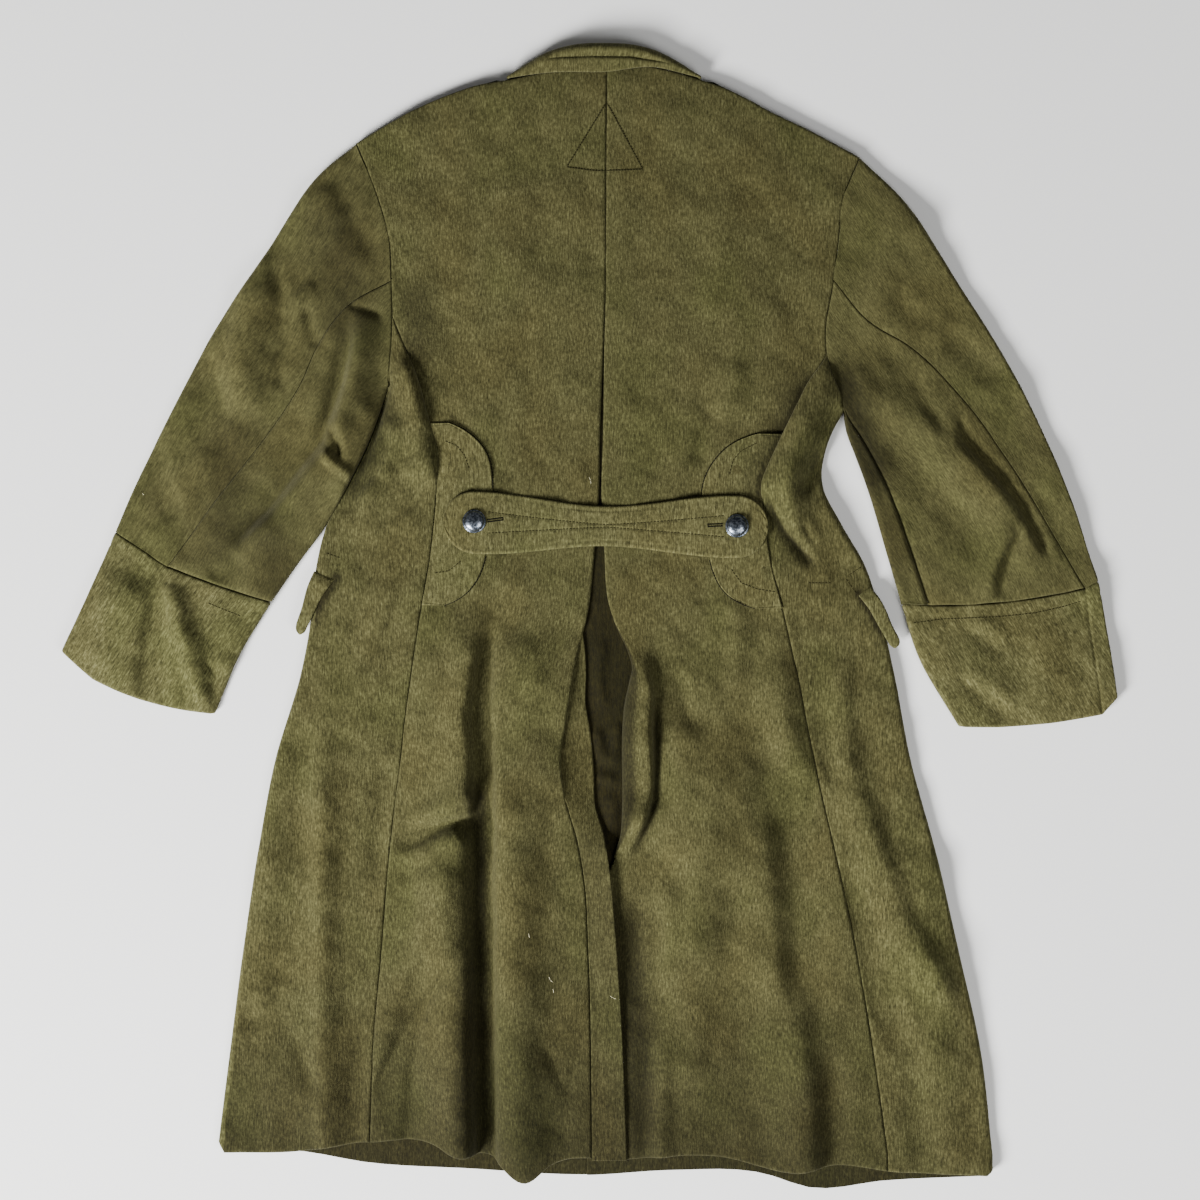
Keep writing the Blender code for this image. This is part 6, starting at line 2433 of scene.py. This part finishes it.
# Lines of sewing, buttonholes and lint on the coat
NAPE_LINES = [
    [
        (15.5, 512.5), (-4.5, 480), (-24.5, 447.5), (5, 444), (30, 444.4), (51.6, 445.5), (33.5, 479),
        (15.5, 512.5),
    ],
]
PATCH_LINES = {
    Half.LEFT: [
        [(-146, 174), (-134, 169), (-126, 159), (-122, 146)],
        [(-156, 42), (-142, 44), (-130, 54)],
    ],
    Half.RIGHT: [
        [(166, 172), (150, 164), (142, 155), (138, 140)],
        [(140, 46), (150, 32), (166, 26), (184, 23)],
    ],
}
CUFF_LINES = {
    Half.LEFT: [[(-383, 12), (-366, 5), (-351, -1)]],
    Half.RIGHT: [[(322, -8), (353, -4), (406, -2), (444, 2), (475, 9), (490, 14)]],
}
TACK_LINES = {
    Half.LEFT: [[(-265, 62), (-251, 57)], [(-254, 47), (-256, 39)]],
    Half.RIGHT: [[(217, 32), (240, 32)], [(258, 40), (270, 48)], [(255, 36), (265, 21.5)]],
}
BUTTONHOLES = {Half.LEFT: [(-103, 94), (-88, 96)], Half.RIGHT: [(131, 90), (116.5, 89.4)]}
LINT = [
    [(19, -380), (22, -382), (25, -383)],
    [(-449, 122), (-447, 120)],
    [(-62, -316), (-61, -321)],
    [(-42, -360), (-40, -365), (-38, -366)],
    [(-2, 138), (0, 134), (0, 131)],
    [(-38, -372), (-37, -377)],
]


class Softbox(NamedTuple):
    """A square lamp that faces the coat."""

    name: str
    place: tuple[float, float, float]
    size: float
    watts: float

    def add(self) -> None:
        """Adds the lamp to the scene."""
        lamp = bpy.data.lights.new(self.name, "AREA")
        lamp.shape = "SQUARE"
        lamp.size = self.size
        lamp.energy = self.watts
        box = bpy.data.objects.new(self.name, lamp)
        box.location = self.place
        box.rotation_euler = (-Vector(self.place)).to_track_quat("-Z", "Y").to_euler()
        bpy.context.scene.collection.objects.link(box)


@dataclass
class Studio:
    """A pale floor, soft light from the side and a camera that looks straight down."""

    view_width: float = 1.2
    lens: float = 85.0
    sensor: float = 36.0
    centre: tuple[float, float] = (0.010, 0.0149)
    floor_size: float = 6.0
    floor_squares: int = 8
    floor_drop: float = 0.2 * MM
    key: Softbox = Softbox("key_softbox", (-2.4, -2.3, 1.85), 1.3, 520.0)
    fill: Softbox = Softbox("fill_softbox", (1.6, -1.6, 2.6), 1.8, 70.0)
    room_colour: str = "#FFFFFF"
    room_light: float = 0.13

    def build(self) -> None:
        """Makes the floor, the lights, the world and the camera."""
        self.floor()
        self.key.add()
        self.fill.add()
        world = bpy.data.worlds.new("studio")
        world.use_nodes = True
        background = world.node_tree.nodes["Background"]
        background.inputs["Color"].default_value = linear(self.room_colour)
        background.inputs["Strength"].default_value = self.room_light
        bpy.context.scene.world = world
        self.camera()

    def floor(self) -> None:
        """Lays the floor just under the coat."""
        mesh = bpy.data.meshes.new("floor")
        shape = bmesh.new()
        squares = self.floor_squares
        bmesh.ops.create_grid(shape, x_segments=squares, y_segments=squares, size=self.floor_size / 2)
        shape.to_mesh(mesh)
        shape.free()
        floor = bpy.data.objects.new("floor", mesh)
        floor.location.z = -self.floor_drop
        floor.data.materials.append(FLOOR_PAINT.make())
        bpy.context.scene.collection.objects.link(floor)

    def camera(self) -> None:
        """Adds the camera, high enough for the photograph's frame at the height of the cloth."""
        data = bpy.data.cameras.new("camera")
        data.lens = self.lens
        data.sensor_width = self.sensor
        camera = bpy.data.objects.new("camera", data)
        height = self.view_width * self.lens / self.sensor
        camera.location = (*self.centre, height + CENTRE_HEIGHT)
        bpy.context.scene.collection.objects.link(camera)
        bpy.context.scene.camera = camera


def sew_coat(belt: HalfBelt, cloth: Sequence[Piece]) -> None:
    """Sews all visible stitching on the finished cloth, and drops the lint on it.

    Args:
        belt: the half belt, which places its own stitching.
        cloth: all cloth pieces.
    """
    thread, faded, pale = OLIVE_THREAD.make(), FADED_THREAD.make(), PALE_THREAD.make()
    sewing = Stitching(cloth)
    sewing.sew("belt_stitches", belt.bow_lines(), faded)
    heavy = Stitching(cloth, radius=0.75 * MM, gap=0.0)
    heavy.sew("nape_stitches", NAPE_LINES, faded)
    for half in Half:
        # partly the patch's seam, partly a painted shadow line along its raised edge
        heavy.sew(f"patch_seam_{half.label}", belt.patch_edges(half), thread)
        sewing.sew(f"patch_stitches_{half.label}", PATCH_LINES[half], faded)
        sewing.sew(f"cuff_stitches_{half.label}", CUFF_LINES[half], faded)
        sewing.sew(f"pocket_tack_{half.label}", TACK_LINES[half], faded)
        sewing.buttonhole(f"buttonhole_{half.label}", BUTTONHOLES[half], thread)
    Stitching(cloth, radius=0.22 * MM, length=4 * MM, gap=0.0).sew("lint", LINT, pale)


def main() -> None:
    """Builds the studio and every piece of the coat."""
    logging.basicConfig(level=logging.INFO, format="%(message)s")
    Studio().build()
    wools = (OLIVE_WOOL, SOFT_WOOL, RUBBED_WOOL, SHADED_WOOL)
    wool, soft, rubbed, inside = (finish.make() for finish in wools)
    metal = BUTTON_METAL.make()
    cloth = []
    for half in HALVES:
        cloth += [half.front(wool), half.back(wool)]
    for sleeve in (LEFT_SLEEVE, RIGHT_SLEEVE):
        cloth += sleeve.build(soft, rubbed)
    cloth.append(Collar().build(wool))
    cloth += BackVent().build(wool, inside)
    belt = HalfBelt()
    cloth += belt.build(rubbed, metal)
    cloth += [flap.build(rubbed) for flap in FLAPS]
    sew_coat(belt, cloth)


if __name__ == "__main__":
    main()
